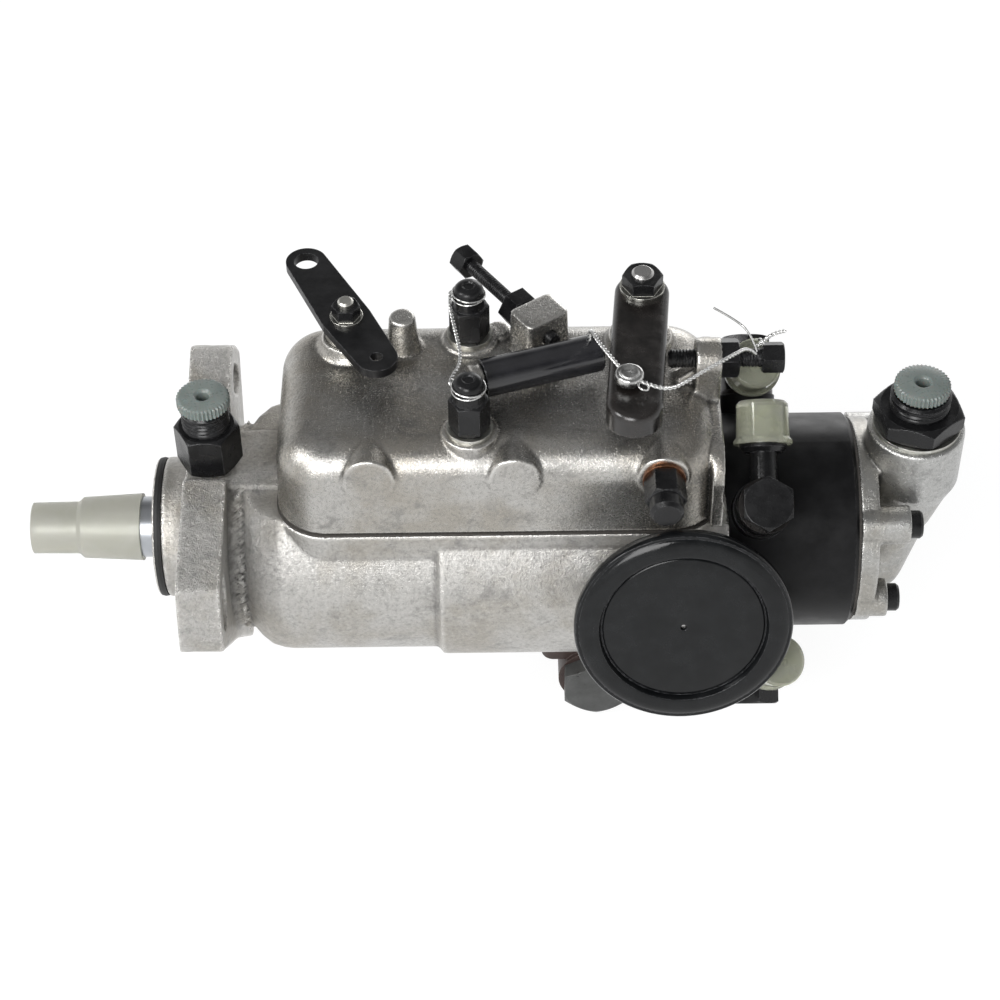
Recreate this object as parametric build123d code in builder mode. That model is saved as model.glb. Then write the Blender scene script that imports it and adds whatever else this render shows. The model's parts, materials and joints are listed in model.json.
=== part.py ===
from build123d import *
import os
from math import cos, radians, sin, sqrt, tan

# Distributor diesel injection pump, in millimetres.
# The drive shaft turns about X, from the drive end (-X) to the fuel inlet (+X).
# The origin lies on the shaft's axis inside the spigot, flange_x in front of the flange's mounting face.
# +Z is up, square to the governor cover.

os.makedirs("parts", exist_ok=True)

# ------------------------------------------------------------------ clearances
running = 0.03              # radial, of a shaft or piston in its bore
fit = 0.02                  # radial, of a piece that is pressed or screwed home
seat = 0.3                  # between a moving piece and the piece it comes up to
loose = 0.6                 # round a rod or pin that swings in its hole

# ------------------------------------------------------------------ stations along the shaft
flange_x = 4.8              # mounting face of the flange
cam_x = 137.0               # middle of the cam ring
cam_half = 10.4
housing_end = cam_x + 39.5
head_x = housing_end + 0.5
head_end = head_x + 41.5
deck_end_x = housing_end - 1.7
cover_end_x = deck_end_x - 0.8

# ------------------------------------------------------------------ housing
flange_thick = 13.8
flange_core = 37.0          # radius of the flange between its lugs
flange_edge = 1.2           # rounding of its rear edge
lug_reach = 59.5
lug_corner = 2.0
lug_half_angle = 9.8
lug_angles = (45.0, 165.0, 285.0)
slot_radius = 48.5
slot_width = 9.6
slot_sweep = 9.0
spigot_radius = 23.0
spigot_length = 11.8        # in front of the flange's face
spigot_lip = 0.6
neck_radius = 33.0
neck_end_x = 24.0
body_radius = 40.6
barrel_radius = 42.9
barrel_x = 86.0
wall_front_x = 42.0         # inner face of the front wall
chamber_radius = 32.0
chamber_end = 82.0
sleeve_bore_radius = 27.5
cam_shoulder_x = cam_x - cam_half - 1.1
head_bore_radius = 28.5
pad_half = 13.0
pad_top = 31.0
pad_end_x = 34.4
deck_z = 30.0
deck_half = 35.3
deck_front_x = 34.0
deck_corner = 16.5
deck_thick = 13.0
window_half = 16.0          # opening from the deck down to the shaft chamber
window_front_x = 46.0
window_end_x = deck_end_x - 8.8

# ------------------------------------------------------------------ drive shaft
journal_radius = 10.0
taper_small_radius = 8.75
taper_start_x = -12.0
taper_end_x = -33.0
shaft_thread_radius = 6.5
shaft_tip_x = -48.0
collar_radius = 13.0
collar_thick = 4.0
carrier_seat_radius = 9.0
carrier_seat_x = 50.0
carrier_hub_length = 8.0
slide_radius = 7.0          # plain stretch that carries the thrust sleeve
shaft_shoulder_x = cam_x - 19.0
spline_root = 5.6
spline_tip = 6.9
spline_width = 2.4
spline_count = 6
spline_length = 5.6
key_length = 12.0
key_width = 4.0
bush_radius = 13.5
bush_start_x = 6.0
seal_radius = 15.5
seal_thick = 4.2
cap_wall = 0.9

# ------------------------------------------------------------------ governor cover
cover_front_x = 35.0
cover_half = 35.0
cover_corner = 16.0
cover_top = 61.5
cover_draft = 2.5
cover_shoulder = 11.5
cover_wall = 4.0
cover_root = cover_top - 8.0    # depth to which the raised features run into the cover
gasket_thick = 0.8
end_rib_thick = 4.0
boss_radius = 7.9
boss_face_y = -34.6
boss_z = cover_top - boss_radius
boss_xs = (65.0, 109.6, 155.0)
stud_x = 96.0
stud_y = 21.75
stud_radius = 4.0
stud_bottom = 22.5
stud_top = 80.0
nut_seat_z = cover_top + 1.2
nut_top = 83.5
stop_x = 57.5
stop_y = 19.0
stop_seat_z = cover_top + 4.5
throttle_x = cover_end_x - 24.0
throttle_y = 19.0
throttle_seat_z = cover_top + 4.0
post_x = 75.0
post_y = 18.0
post_top = cover_top + 13.0
knob_place = (105.0, 25.0)
knob_radius = 5.0

# ------------------------------------------------------------------ levers
hex_small = 11.1            # across the flats of the small nuts and screws
stop_shaft_radius = 4.0
stop_plate_z = 70.2
stop_plate_thick = 3.0
stop_eye = (43.5, 47.2)
stop_eye_radius = 3.9
stop_tail = (67.4, 0.4)
stop_tail_radius = 1.9
stop_end_radius = 6.6
stop_waist_radius = 8.0
stop_collar_radius = 7.0
stop_thread_radius = 2.5
stop_shaft_top = 80.5
stop_nut_top = 78.5
stop_nut_hex = 7.8
throttle_shaft_radius = 5.0
throttle_plate_z = 80.8
throttle_plate_thick = 3.0
throttle_skirt = 5.0
throttle_end = (throttle_x - 4.7, -31.8)
throttle_collar_radius = 8.0
throttle_thread_radius = 3.5
throttle_shaft_top = 90.8
lever_washer = 1.2
stop_arm_z = 66.5           # arm of the throttle shaft that meets the idle screw
stop_arm_thick = 6.0
stop_arm_end = 3.0
throttle_half = 8.5
spring_peg_reach = 7.0
spring_peg_angle = 165.0
inner_arm_z = 46.0
inner_neck_radius = 3.6
spring_z = 42.5
spring_radius = 3.4
spring_wire = 0.45

# ------------------------------------------------------------------ stop screws on the cover
screw_radius = 3.0
sleeve_z = cover_top + 9.0
sleeve_start = (101.0, -7.0, sleeve_z)
sleeve_end = (136.5, 4.5, sleeve_z)
sleeve_radius = 6.0
sleeve_bore = 4.6
sleeve_lug_radius = 5.0
sleeve_lug_thick = 4.0
trim_z = cover_top + 8.0
trim_block = (118.0, 17.5, trim_z)
trim_head = (95.1, 50.5, trim_z)
trim_radius = 2.3
trim_hex = 8.4
trim_block_top = trim_z + 7.0
idle_y = 2.0
idle_z = cover_top + 8.0
idle_hex = 8.8
idle_tip_x = throttle_x + 7.6
idle_lug_x = cover_end_x - 8.0
idle_lug_radius = 6.5
idle_head_x = cover_end_x + 12.5

# ------------------------------------------------------------------ hydraulic head and delivery
head_radius = 35.0
head_nose_x = cam_x + cam_half + 0.2
rotor_radius = 9.0
outlet_x = head_x + 10.0
outlet_angles = (50.0, 140.0, 230.0, 320.0)
outlet_flat = 41.0          # radius at which the outlet bosses are faced
outlet_boss_radius = 9.2
washer_thick = 1.5
banjo_radius = 8.7
banjo_thick = 9.6
bolt_radius = 5.0
bolt_hex = 15.0
bolt_head = 7.0
tube_radius = 4.25
tube_reach = 33.0           # from the eye's middle to the end of the cap
pipe_end = tube_reach - 2.0
pipe_thread_start = tube_reach - 16.0
pipe_thread_radius = 7.4
cap_radius = 8.4
cap_length = 13.5
cap_lip = 0.8
liner_radius = 17.0
liner_bore = 13.0
liner_offset = 1.2
liner_x = head_end - 12.0
transfer_radius = 10.6
blade_thick = 2.4
metering_x = cam_x + 23.0
metering_radius = 3.5
metering_bottom = 12.0
metering_lever_z = 34.5
metering_lever = 7.0
link_z = 36.5
link_radius = 1.0

# ------------------------------------------------------------------ end plate and unions
plate_gasket_thick = 0.8
plate_radius = 33.5
plate_thick = 6.0
inlet_x = head_end + 19.1
inlet_boss_radius = 15.5
inlet_boss_top = 42.0
inlet_hex = 25.4
inlet_hex_high = 7.0
inlet_thread_radius = 8.0
inlet_thread_depth = 14.0
inlet_top = inlet_boss_top + 14.0
backleak_x = 12.3
backleak_hex = 18.2
backleak_hex_high = 15.0
backleak_thread_radius = 5.0
backleak_top = pad_top + 23.0
plug_high = 4.5             # of a shipping plug above its union
slant_end = (head_end - 4.5, 0.0, -22.0)
slant_start_radius = 14.5
slant_end_radius = 11.0
plate_screw_radius = 29.0
plate_screw_angles = (-17.0, 41.0)
plate_screw_seats = (head_end + 11.1, head_end + 16.5)
regulator_radius = 3.5

# ------------------------------------------------------------------ pumping parts
cam_base = 24.4
cam_lobe = 22.3
cam_lobes = 4
roller_radius = 4.0
roller_length = 14.0
roller_orbit = 18.0
rotor_head_radius = 20.6
shoe_half = 7.4
plunger_radius = 4.0

# ------------------------------------------------------------------ governor
carrier_radius = 25.0
carrier_thick = 3.0
weight_count = 4
weight_half = 6.0
ear_thick = 2.0
weight_pivot_x = 57.0
weight_pivot_r = 21.0
weight_pin_radius = 1.5
weight_end_x = 76.0
weight_outer = 24.0
weight_inner = 15.7
toe_radius = 1.2
toe_r = 12.2
thrust_face_x = 62.0
thrust_flange_radius = 14.5
thrust_hub_radius = 10.0
thrust_rear_x = 84.0
thrust_flange_thick = 3.0
thrust_end_x = 98.0
arm_pivot_z = 24.0
arm_plate = 2.5
arm_pad_radius = 2.0
arm_pin_radius = 1.5
arm_top_z = 48.0
bracket_thick = 2.0

# ------------------------------------------------------------------ advance unit
advance_x = cam_x
advance_z = -56.0
advance_bore = 9.0
advance_body_radius = 12.8
advance_front_y = -19.5
advance_back_y = 26.0
advance_foot = (37.0, 38.0)
advance_ears = ((-21.5, 2.0), (21.5, 2.0))
advance_ear_radius = 7.5
advance_top_z = -43.2
advance_travel = 8.0
piston_front_y = -9.0
piston_back_y = 9.5
ball_radius = 4.0
stem_radius = 2.4

# ------------------------------------------------------------------ pressure capsule
capsule_x = housing_end - 15.5
capsule_angle = 14.0        # above the horizontal, on the -Y side
capsule_face = 65.0         # distance of its face from the pump's axis
capsule_radius = 33.8
capsule_recess = 25.7
capsule_neck = 12.0
capsule_neck_top = 51.0

# ------------------------------------------------------------------ places
shaft_line = Plane(origin=(0, 0, 0), x_dir=(0, 0, 1), z_dir=(1, 0, 0))
capsule_out = (0, -cos(radians(capsule_angle)), sin(radians(capsule_angle)))
capsule_line = Plane(origin=(capsule_x, 0, 0), x_dir=(1, 0, 0), z_dir=capsule_out)


def upright(x, y, z):
    """A place on a vertical axis."""
    return Plane(origin=(x, y, z), x_dir=(1, 0, 0), z_dir=(0, 0, 1))


def lathe(place, outline, mode=Mode.ADD):
    """Turn an outline of (radius, distance along the axis) points about a place's own axis."""
    section = Plane(origin=place.origin, x_dir=place.x_dir, z_dir=-place.y_dir)
    with BuildSketch(section, mode=Mode.PRIVATE) as profile:
        with BuildLine():
            Polyline(*outline, close=True)
        make_face()
    revolve(profile.sketch, axis=Axis(place.origin, place.z_dir), mode=mode)


def rod(place, radius, start, end, mode=Mode.ADD):
    """A plain round length between two distances along a place's axis."""
    with BuildSketch(place.offset(start)) as section:
        Circle(radius)
    extrude(section.sketch, amount=end - start, mode=mode)


def ring(place, outer, inner, start, end, mode=Mode.ADD):
    """A plain tube or washer."""
    with BuildSketch(place.offset(start)) as section:
        Circle(outer)
        Circle(inner, mode=Mode.SUBTRACT)
    extrude(section.sketch, amount=end - start, mode=mode)


def hexagon(place, flats, start, end):
    """A hexagon whose outer corners are turned off at 30 degrees."""
    corner = flats / sqrt(3)
    spare = 1.0
    drop = (corner + spare - flats / 2) * tan(radians(30))
    with BuildSketch(place.offset(start)) as section:
        RegularPolygon(corner, 6)
    extrude(section.sketch, amount=end - start)
    lathe(place, ((flats / 2, end), (corner + spare, end), (corner + spare, end - drop)), mode=Mode.SUBTRACT)


def foot_outline(z):
    """Outline of the joint between the housing and the advance unit."""
    with BuildSketch(Plane.XY.offset(z)) as foot:
        with BuildSketch(mode=Mode.PRIVATE) as ears:
            for ear in advance_ears:
                with Locations((advance_x + ear[0], ear[1])):
                    Circle(advance_ear_radius)
        make_hull(ears.sketch.edges())
        with Locations((advance_x, 1)):
            RectangleRounded(*advance_foot, 4)
    return foot.sketch


def curved_slot(angle):
    """Slot of a flange lug, curved about the shaft's axis so that the pump can be turned."""
    reach = slot_radius + slot_width
    first = radians(angle - slot_sweep / 2)
    last = radians(angle + slot_sweep / 2)
    with BuildSketch(mode=Mode.PRIVATE) as slot:
        with BuildLine():
            Polyline(
                (0, 0), (reach * cos(first), reach * sin(first)), (reach * cos(last), reach * sin(last)),
                close=True)
        make_face()
        Circle(slot_radius + slot_width / 2, mode=Mode.INTERSECT)
        Circle(slot_radius - slot_width / 2, mode=Mode.SUBTRACT)
        for side in (-slot_sweep / 2, slot_sweep / 2):
            with PolarLocations(slot_radius, 1, start_angle=angle + side):
                Circle(slot_width / 2)
    return slot.sketch_local


def between(start, end):
    """A place at the first point whose axis runs to the second."""
    run = Vector(*end) - Vector(*start)
    return Plane(origin=start, z_dir=run.normalized())


def span(start, end):
    """Distance between two points."""
    return (Vector(*end) - Vector(*start)).length


# ------------------------------------------------------------------ housing
spigot_start_x = flange_x - spigot_length
oring_radius = 1.1
oring_x = spigot_start_x + spigot_lip + 1.2
groove_radius = spigot_radius - 2 * oring_radius
stem_slot = (advance_travel + 2 * loose) * 1.25
neck_start_x = flange_x + flange_thick

with BuildPart() as pump_housing:
    # mounting flange: a round core with three lugs that end on one circle
    with BuildSketch(Plane.YZ.offset(flange_x)):
        Circle(flange_core)
        for angle in lug_angles:
            with BuildSketch(mode=Mode.PRIVATE) as lug_ends:
                Circle(flange_core)
                for share in (-1, -0.5, 0, 0.5, 1):
                    with PolarLocations(
                        lug_reach - lug_corner, 1, start_angle=angle + share * lug_half_angle):
                        Circle(lug_corner)
            make_hull(lug_ends.sketch.edges())
        for angle in lug_angles:
            add(curved_slot(angle), mode=Mode.SUBTRACT)
    extrude(amount=flange_thick)
    # neck, rounded shoulder and round body
    lathe(shaft_line, (
        (0, flange_x + 1), (neck_radius, flange_x + 1), (neck_radius, neck_end_x),
        (body_radius - 4.6, neck_end_x + 2.5), (body_radius - 1.7, neck_end_x + 6),
        (body_radius - 0.4, neck_end_x + 9.5),
        (body_radius, neck_end_x + 13), (body_radius, barrel_x - 1.5), (barrel_radius, barrel_x),
        (barrel_radius, housing_end), (0, housing_end)))
    with BuildSketch(Plane.XY.offset(deck_z)):
        with Locations(((neck_end_x + housing_end) / 2, 0)):
            Rectangle(housing_end - neck_end_x, 2 * barrel_radius)
    extrude(amount=barrel_radius, mode=Mode.SUBTRACT)
    # gasket deck with straight walls
    with BuildSketch(Plane.XY.offset(deck_z - deck_thick)):
        with Locations(((deck_front_x + deck_end_x) / 2, 0)):
            RectangleRounded(deck_end_x - deck_front_x, 2 * deck_half, deck_corner)
    extrude(amount=deck_thick)
    # flat pad that carries the back-leak union
    with BuildSketch(Plane.XY.offset(pad_top)):
        with Locations(((flange_x + pad_end_x) / 2, 0)):
            Rectangle(pad_end_x - flange_x, 2 * pad_half)
    extrude(amount=-deck_thick)
    with BuildSketch(Plane.XY.offset(pad_top)):
        with Locations(((flange_x + pad_end_x) / 2, 0)):
            Rectangle(pad_end_x - flange_x + 1, 2 * pad_half)
    extrude(amount=deck_thick, mode=Mode.SUBTRACT)
    # round boss for the capsule, and the foot of the advance unit
    rod(capsule_line, capsule_neck, body_radius - 12, capsule_neck_top - 4)
    extrude(foot_outline(advance_top_z), amount=18)
    # spigot, with its seal groove
    lathe(shaft_line, (
        (0, flange_x + 1), (spigot_radius, flange_x + 1), (spigot_radius, oring_x + oring_radius),
        (groove_radius, oring_x + oring_radius), (groove_radius, oring_x - oring_radius),
        (spigot_radius, oring_x - oring_radius), (spigot_radius, spigot_start_x + spigot_lip),
        (spigot_radius - spigot_lip, spigot_start_x), (0, spigot_start_x)))
    # bores for the seals, the bush, the governor, the cam ring and the head
    rod(shaft_line, seal_radius + fit, spigot_start_x, bush_start_x - 2, mode=Mode.SUBTRACT)
    rod(shaft_line, bush_radius + fit, bush_start_x - 2, wall_front_x, mode=Mode.SUBTRACT)
    rod(shaft_line, chamber_radius, wall_front_x, chamber_end, mode=Mode.SUBTRACT)
    rod(shaft_line, sleeve_bore_radius, chamber_end, cam_shoulder_x, mode=Mode.SUBTRACT)
    rod(shaft_line, head_bore_radius, cam_shoulder_x, housing_end, mode=Mode.SUBTRACT)
    # window between the shaft chamber and the governor cover
    with BuildSketch(Plane.XY.offset(deck_z)):
        with Locations(((window_front_x + window_end_x) / 2, 0)):
            RectangleRounded(window_end_x - window_front_x, 2 * window_half, 4)
    extrude(amount=-15, mode=Mode.SUBTRACT)
    # threaded holes of the two long studs, and the back-leak hole
    with Locations(Plane.XY.offset(deck_z)):
        with Locations((stud_x, stud_y), (stud_x, -stud_y)):
            Hole(stud_radius + fit, depth=deck_z - stud_bottom)
    with Locations(Plane.XY.offset(pad_top)):
        with Locations((backleak_x, 0)):
            Hole(backleak_thread_radius + fit, depth=12)
    for ear in advance_ears:
        rod(
            upright(advance_x + ear[0], ear[1], 0), 3 + fit, advance_top_z - 1, advance_top_z + 8.1,
            mode=Mode.SUBTRACT)
    # slot that the cam ring's screw swings in
    with BuildSketch(Plane.XY.offset(advance_top_z)):
        with Locations((advance_x, advance_travel / 2)):
            SlotOverall(stem_slot + 2 * stem_radius + 2, 2 * stem_radius + 4, rotation=90)
    extrude(amount=18, mode=Mode.SUBTRACT)

pump_housing.part.label = "pump_housing"
export_step(pump_housing.part, "parts/pump_housing.step")

# ------------------------------------------------------------------ governor cover
cover_length = cover_end_x - cover_front_x
cover_mid_x = (cover_end_x + cover_front_x) / 2
cover_base = deck_z + gasket_thick
cover_rise = cover_top - cover_base
cavity_top = cover_top - cover_wall - 0.5
sleeve_line = between(sleeve_start, sleeve_end)
trim_line = between(trim_head, trim_block)
trim_length = span(trim_head, trim_block)

with BuildPart() as governor_cover:
    # drafted box with a soft shoulder all round
    with BuildSketch(Plane.XY.offset(cover_base)):
        with Locations((cover_mid_x, 0)):
            RectangleRounded(cover_length, 2 * cover_half, cover_corner)
    extrude(amount=cover_rise, taper=cover_draft)
    fillet(governor_cover.faces().sort_by(Axis.Z)[-1].edges(), cover_shoulder)
    # flat rib across the rear end
    with BuildSketch(Plane.YZ.offset(cover_end_x - end_rib_thick)):
        with BuildLine():
            FilletPolyline(
                (-cover_half + 1, cover_base), (-cover_half + 2, cover_top - 4),
                (cover_half - 2, cover_top - 4),
                (cover_half - 1, cover_base), radius=12)
            Line((cover_half - 1, cover_base), (-cover_half + 1, cover_base))
        make_face()
    extrude(amount=end_rib_thick)
    # three round bosses that stand out of the front wall and run into the shoulder
    for x in boss_xs:
        rod(Plane(origin=(x, boss_face_y, boss_z), z_dir=(0, 1, 0)), boss_radius, 0, 20)
    # raised seats of the nuts and of the two lever shafts
    with BuildSketch(Plane.XY.offset(cover_root)):
        with Locations((stud_x, stud_y), (stud_x, -stud_y)):
            Circle(8.6)
    extrude(amount=nut_seat_z - cover_root)
    lathe(upright(stop_x, stop_y, 0), (
        (0, cover_root), (11, cover_root), (9.8, cover_top + 0.6), (8.6, cover_top + 2.4), (8.2, stop_seat_z),
        (0, stop_seat_z)))
    lathe(upright(throttle_x, throttle_y, 0), (
        (0, cover_root), (11, cover_root), (11, cover_top), (9.8, throttle_seat_z), (0, throttle_seat_z)))
    # cast post that stops the stop lever
    lathe(upright(post_x, post_y, 0), (
        (0, cover_root), (7, cover_root), (7, cover_top - 0.6), (5.6, cover_top + 0.6), (5, cover_top + 3),
        (4.2, post_top - 0.6), (3.6, post_top), (0, post_top)))
    # lugs and block that carry the three stop screws
    with BuildSketch(sleeve_line.offset(-1 - sleeve_lug_thick)):
        Circle(sleeve_lug_radius)
    extrude(amount=sleeve_lug_thick)
    lug_foot = Plane(
        origin=(sleeve_start[0], sleeve_start[1], cover_root), x_dir=sleeve_line.z_dir, z_dir=(0, 0, 1))
    with BuildSketch(lug_foot):
        with Locations((-1 - sleeve_lug_thick / 2, 0)):
            Rectangle(sleeve_lug_thick, 1.8 * sleeve_lug_radius)
    extrude(amount=sleeve_z - cover_root)
    block_foot = Plane(
        origin=(trim_block[0], trim_block[1], cover_root), x_dir=trim_line.z_dir, z_dir=(0, 0, 1))
    with BuildSketch(block_foot):
        RectangleRounded(13, 17, 2.5)
    extrude(amount=trim_block_top - cover_root, taper=2)
    with BuildSketch(Plane.XY.offset(cover_root)):
        with Locations(knob_place):
            Circle(knob_radius)
    extrude(amount=cover_top + 1 - cover_root, taper=6)
    with BuildSketch(Plane.YZ.offset(idle_lug_x)):
        with Locations((idle_y, idle_z)):
            Circle(idle_lug_radius)
        with Locations((idle_y, (idle_z + cover_root) / 2)):
            Rectangle(2 * idle_lug_radius, idle_z - cover_root)
    extrude(amount=cover_end_x - idle_lug_x)
    with BuildSketch(Plane.XZ.offset(-idle_y)):
        with BuildLine():
            Polyline(
                (idle_lug_x + 4, cover_top + 9), (idle_lug_x - 9, cover_top - 2),
                (idle_lug_x + 4, cover_top - 2), close=True)
        make_face()
    extrude(amount=2.5, both=True)
    # inside: cavity, and the hole of the vent screw
    with BuildSketch(Plane.XY.offset(cover_base)):
        with Locations((cover_mid_x, 0)):
            RectangleRounded(
                cover_length - 2 * cover_wall, 2 * (cover_half - cover_wall), cover_corner - cover_wall)
    extrude(amount=cavity_top - cover_base, taper=cover_draft + 2, mode=Mode.SUBTRACT)
    vent_line = Plane(origin=(boss_xs[2], boss_face_y, boss_z), x_dir=(1, 0, 0), z_dir=(0, -1, 0))
    rod(vent_line, screw_radius + fit, -9, 0, mode=Mode.SUBTRACT)
    # holes of the studs, the lever shafts and the stop screws
    for y in (stud_y, -stud_y):
        rod(upright(stud_x, y, 0), stud_radius + loose / 2, cover_base, nut_seat_z, mode=Mode.SUBTRACT)
    rod(upright(stop_x, stop_y, 0), stop_shaft_radius + running, cover_base, stop_seat_z, mode=Mode.SUBTRACT)
    rod(
        upright(throttle_x, throttle_y, 0), throttle_shaft_radius + running, cover_base, throttle_seat_z,
        mode=Mode.SUBTRACT)
    rod(sleeve_line, screw_radius + fit, -2 - sleeve_lug_thick, 1, mode=Mode.SUBTRACT)
    rod(trim_line, trim_radius + fit, trim_length - 14, trim_length + 14, mode=Mode.SUBTRACT)
    idle_line = Plane(origin=(0, idle_y, idle_z), z_dir=(1, 0, 0))
    rod(idle_line, screw_radius + fit, idle_lug_x - 12, cover_end_x + 1, mode=Mode.SUBTRACT)

governor_cover.part.label = "governor_cover"
export_step(governor_cover.part, "parts/governor_cover.step")

with BuildPart() as gaskets:
    with BuildSketch(Plane.XY.offset(deck_z)):
        with Locations((cover_mid_x, 0)):
            RectangleRounded(cover_length + 0.6, 2 * cover_half + 0.6, cover_corner)
            RectangleRounded(
                cover_length - 2 * cover_wall, 2 * (cover_half - cover_wall), cover_corner - cover_wall,
                mode=Mode.SUBTRACT)
    extrude(amount=gasket_thick)
    ring(shaft_line, plate_radius, liner_radius + 2, head_end, head_end + plate_gasket_thick)

gaskets.part.label = "gaskets"
export_step(gaskets.part, "parts/gaskets.step")

with BuildPart() as cover_studs:
    for y in (stud_y, -stud_y):
        lathe(upright(stud_x, y, 0), (
            (0, stud_bottom), (stud_radius, stud_bottom), (stud_radius, stud_top - 1),
            (stud_radius - 1, stud_top),
            (0, stud_top)))

cover_studs.part.label = "cover_studs"
export_step(cover_studs.part, "parts/cover_studs.step")

nut_foot = nut_seat_z + washer_thick
nut_hex_top = nut_foot + 11.5

with BuildPart() as cover_nuts:
    for y in (stud_y, -stud_y):
        hexagon(upright(stud_x, y, 0), hex_small, nut_foot, nut_hex_top)
        lathe(upright(stud_x, y, 0), (
            (0, nut_hex_top), (4.9, nut_hex_top), (4.9, nut_top - 1.4), (3.6, nut_top), (0, nut_top)))
        rod(upright(stud_x, y, 0), stud_radius + fit, nut_foot, stud_top + 0.5, mode=Mode.SUBTRACT)

cover_nuts.part.label = "cover_nuts"
export_step(cover_nuts.part, "parts/cover_nuts.step")

# ------------------------------------------------------------------ stop screws, lock nuts, seal
sleeve_length = span(sleeve_start, sleeve_end)
trim_exit = trim_length + 8.5

with BuildPart() as adjuster_screws:
    # long hexagon-headed screw that points at the sealed sleeve
    hexagon(trim_line, trim_hex, -3.2, 3.2)
    rod(trim_line, trim_radius, 3.2, trim_exit)
    # idle screw
    hexagon(idle_line, idle_hex, idle_head_x, idle_head_x + 7)
    lathe(idle_line, (
        (0, idle_tip_x), (screw_radius - 0.8, idle_tip_x), (screw_radius, idle_tip_x + 1),
        (screw_radius, idle_head_x),
        (0, idle_head_x)))
    # maximum speed screw inside its sleeve
    rod(sleeve_line, screw_radius, -1 - sleeve_lug_thick, sleeve_length - 1)

adjuster_screws.part.label = "adjuster_screws"
export_step(adjuster_screws.part, "parts/adjuster_screws.step")

with BuildPart() as adjuster_locknuts:
    hexagon(trim_line, hex_small, trim_length - 13.5, trim_length - 7.1)
    rod(trim_line, trim_radius + fit, trim_length - 14, trim_length - 7, mode=Mode.SUBTRACT)
    hexagon(idle_line, hex_small, cover_end_x, cover_end_x + 5.5)
    rod(idle_line, screw_radius + fit, cover_end_x - 1, cover_end_x + 6, mode=Mode.SUBTRACT)

adjuster_locknuts.part.label = "adjuster_locknuts"
export_step(adjuster_locknuts.part, "parts/adjuster_locknuts.step")

with BuildPart() as seal_sleeve:
    lathe(sleeve_line, (
        (screw_radius + fit, -1.0), (sleeve_radius, -1.0), (sleeve_radius, sleeve_length - 0.6),
        (sleeve_radius - 0.6, sleeve_length), (sleeve_bore, sleeve_length), (sleeve_bore, 3),
        (screw_radius + fit, 3)))
    with BuildSketch(Plane(origin=sleeve_line.origin, x_dir=sleeve_line.z_dir, z_dir=(0, 0, 1))):
        with Locations((sleeve_length - 3.5, 0)):
            Circle(0.8)
    extrude(amount=10, both=True, mode=Mode.SUBTRACT)

seal_sleeve.part.label = "seal_sleeve"
export_step(seal_sleeve.part, "parts/seal_sleeve.step")

with BuildPart() as vent_screw:
    vent_hex_top = washer_thick + 9
    vent_top = vent_hex_top + 5.8
    hexagon(vent_line, hex_small, washer_thick, vent_hex_top)
    lathe(vent_line, (
        (0, -8), (screw_radius, -8), (screw_radius, vent_hex_top), (5.2, vent_hex_top), (5.2, vent_top - 1.2),
        (4.2, vent_top),
        (0, vent_top)))

vent_screw.part.label = "vent_screw"
export_step(vent_screw.part, "parts/vent_screw.step")

# ------------------------------------------------------------------ levers
with BuildPart() as stop_lever:
    with BuildSketch(Plane.XY.offset(stop_plate_z)):
        for place, radius in ((stop_eye, stop_end_radius), (stop_tail, stop_end_radius)):
            with BuildSketch(mode=Mode.PRIVATE) as arm:
                with Locations(place):
                    Circle(radius)
                with Locations((stop_x, stop_y)):
                    Circle(stop_waist_radius)
            make_hull(arm.sketch.edges())
        with Locations(stop_eye):
            Circle(stop_eye_radius, mode=Mode.SUBTRACT)
        with Locations(stop_tail):
            Circle(stop_tail_radius, mode=Mode.SUBTRACT)
        with Locations((stop_x, stop_y)):
            Circle(stop_shaft_radius + fit, mode=Mode.SUBTRACT)
    extrude(amount=stop_plate_thick)

stop_lever.part.label = "stop_lever"
export_step(stop_lever.part, "parts/stop_lever.step")

stop_plate_top = stop_plate_z + stop_plate_thick

with BuildPart() as stop_shaft:
    lathe(upright(stop_x, stop_y, 0), (
        (0, 36), (stop_shaft_radius, 36), (stop_shaft_radius, stop_seat_z + seat),
        (stop_collar_radius, stop_seat_z + seat),
        (stop_collar_radius, stop_plate_z), (stop_shaft_radius, stop_plate_z),
        (stop_shaft_radius, stop_plate_top),
        (stop_thread_radius, stop_plate_top), (stop_thread_radius, stop_shaft_top - 0.6),
        (stop_thread_radius - 0.6, stop_shaft_top), (0, stop_shaft_top)))
    # inner cam that pushes the fuel off
    with BuildSketch(Plane.XY.offset(36)):
        with BuildSketch(mode=Mode.PRIVATE) as cam:
            with Locations((stop_x, stop_y)):
                Circle(stop_shaft_radius + 1.5)
            with Locations((stop_x + 7, stop_y - 9)):
                Circle(2.4)
        make_hull(cam.sketch.edges())
    extrude(amount=3)

stop_shaft.part.label = "stop_shaft"
export_step(stop_shaft.part, "parts/stop_shaft.step")

with BuildPart() as stop_lever_nut:
    hexagon(upright(stop_x, stop_y, 0), stop_nut_hex, stop_plate_top + 1, stop_nut_top)
    ring(upright(stop_x, stop_y, 0), 5.2, stop_thread_radius + fit, stop_plate_top, stop_plate_top + 1)
    rod(
        upright(stop_x, stop_y, 0), stop_thread_radius + fit, stop_plate_z, stop_shaft_top,
        mode=Mode.SUBTRACT)

stop_lever_nut.part.label = "stop_lever_nut"
export_step(stop_lever_nut.part, "parts/stop_lever_nut.step")

throttle_centre = (throttle_x, throttle_y)
throttle_top = throttle_plate_z + throttle_plate_thick
skirt_bottom = throttle_plate_z - throttle_skirt
skirt_thick = 2.6

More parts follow.
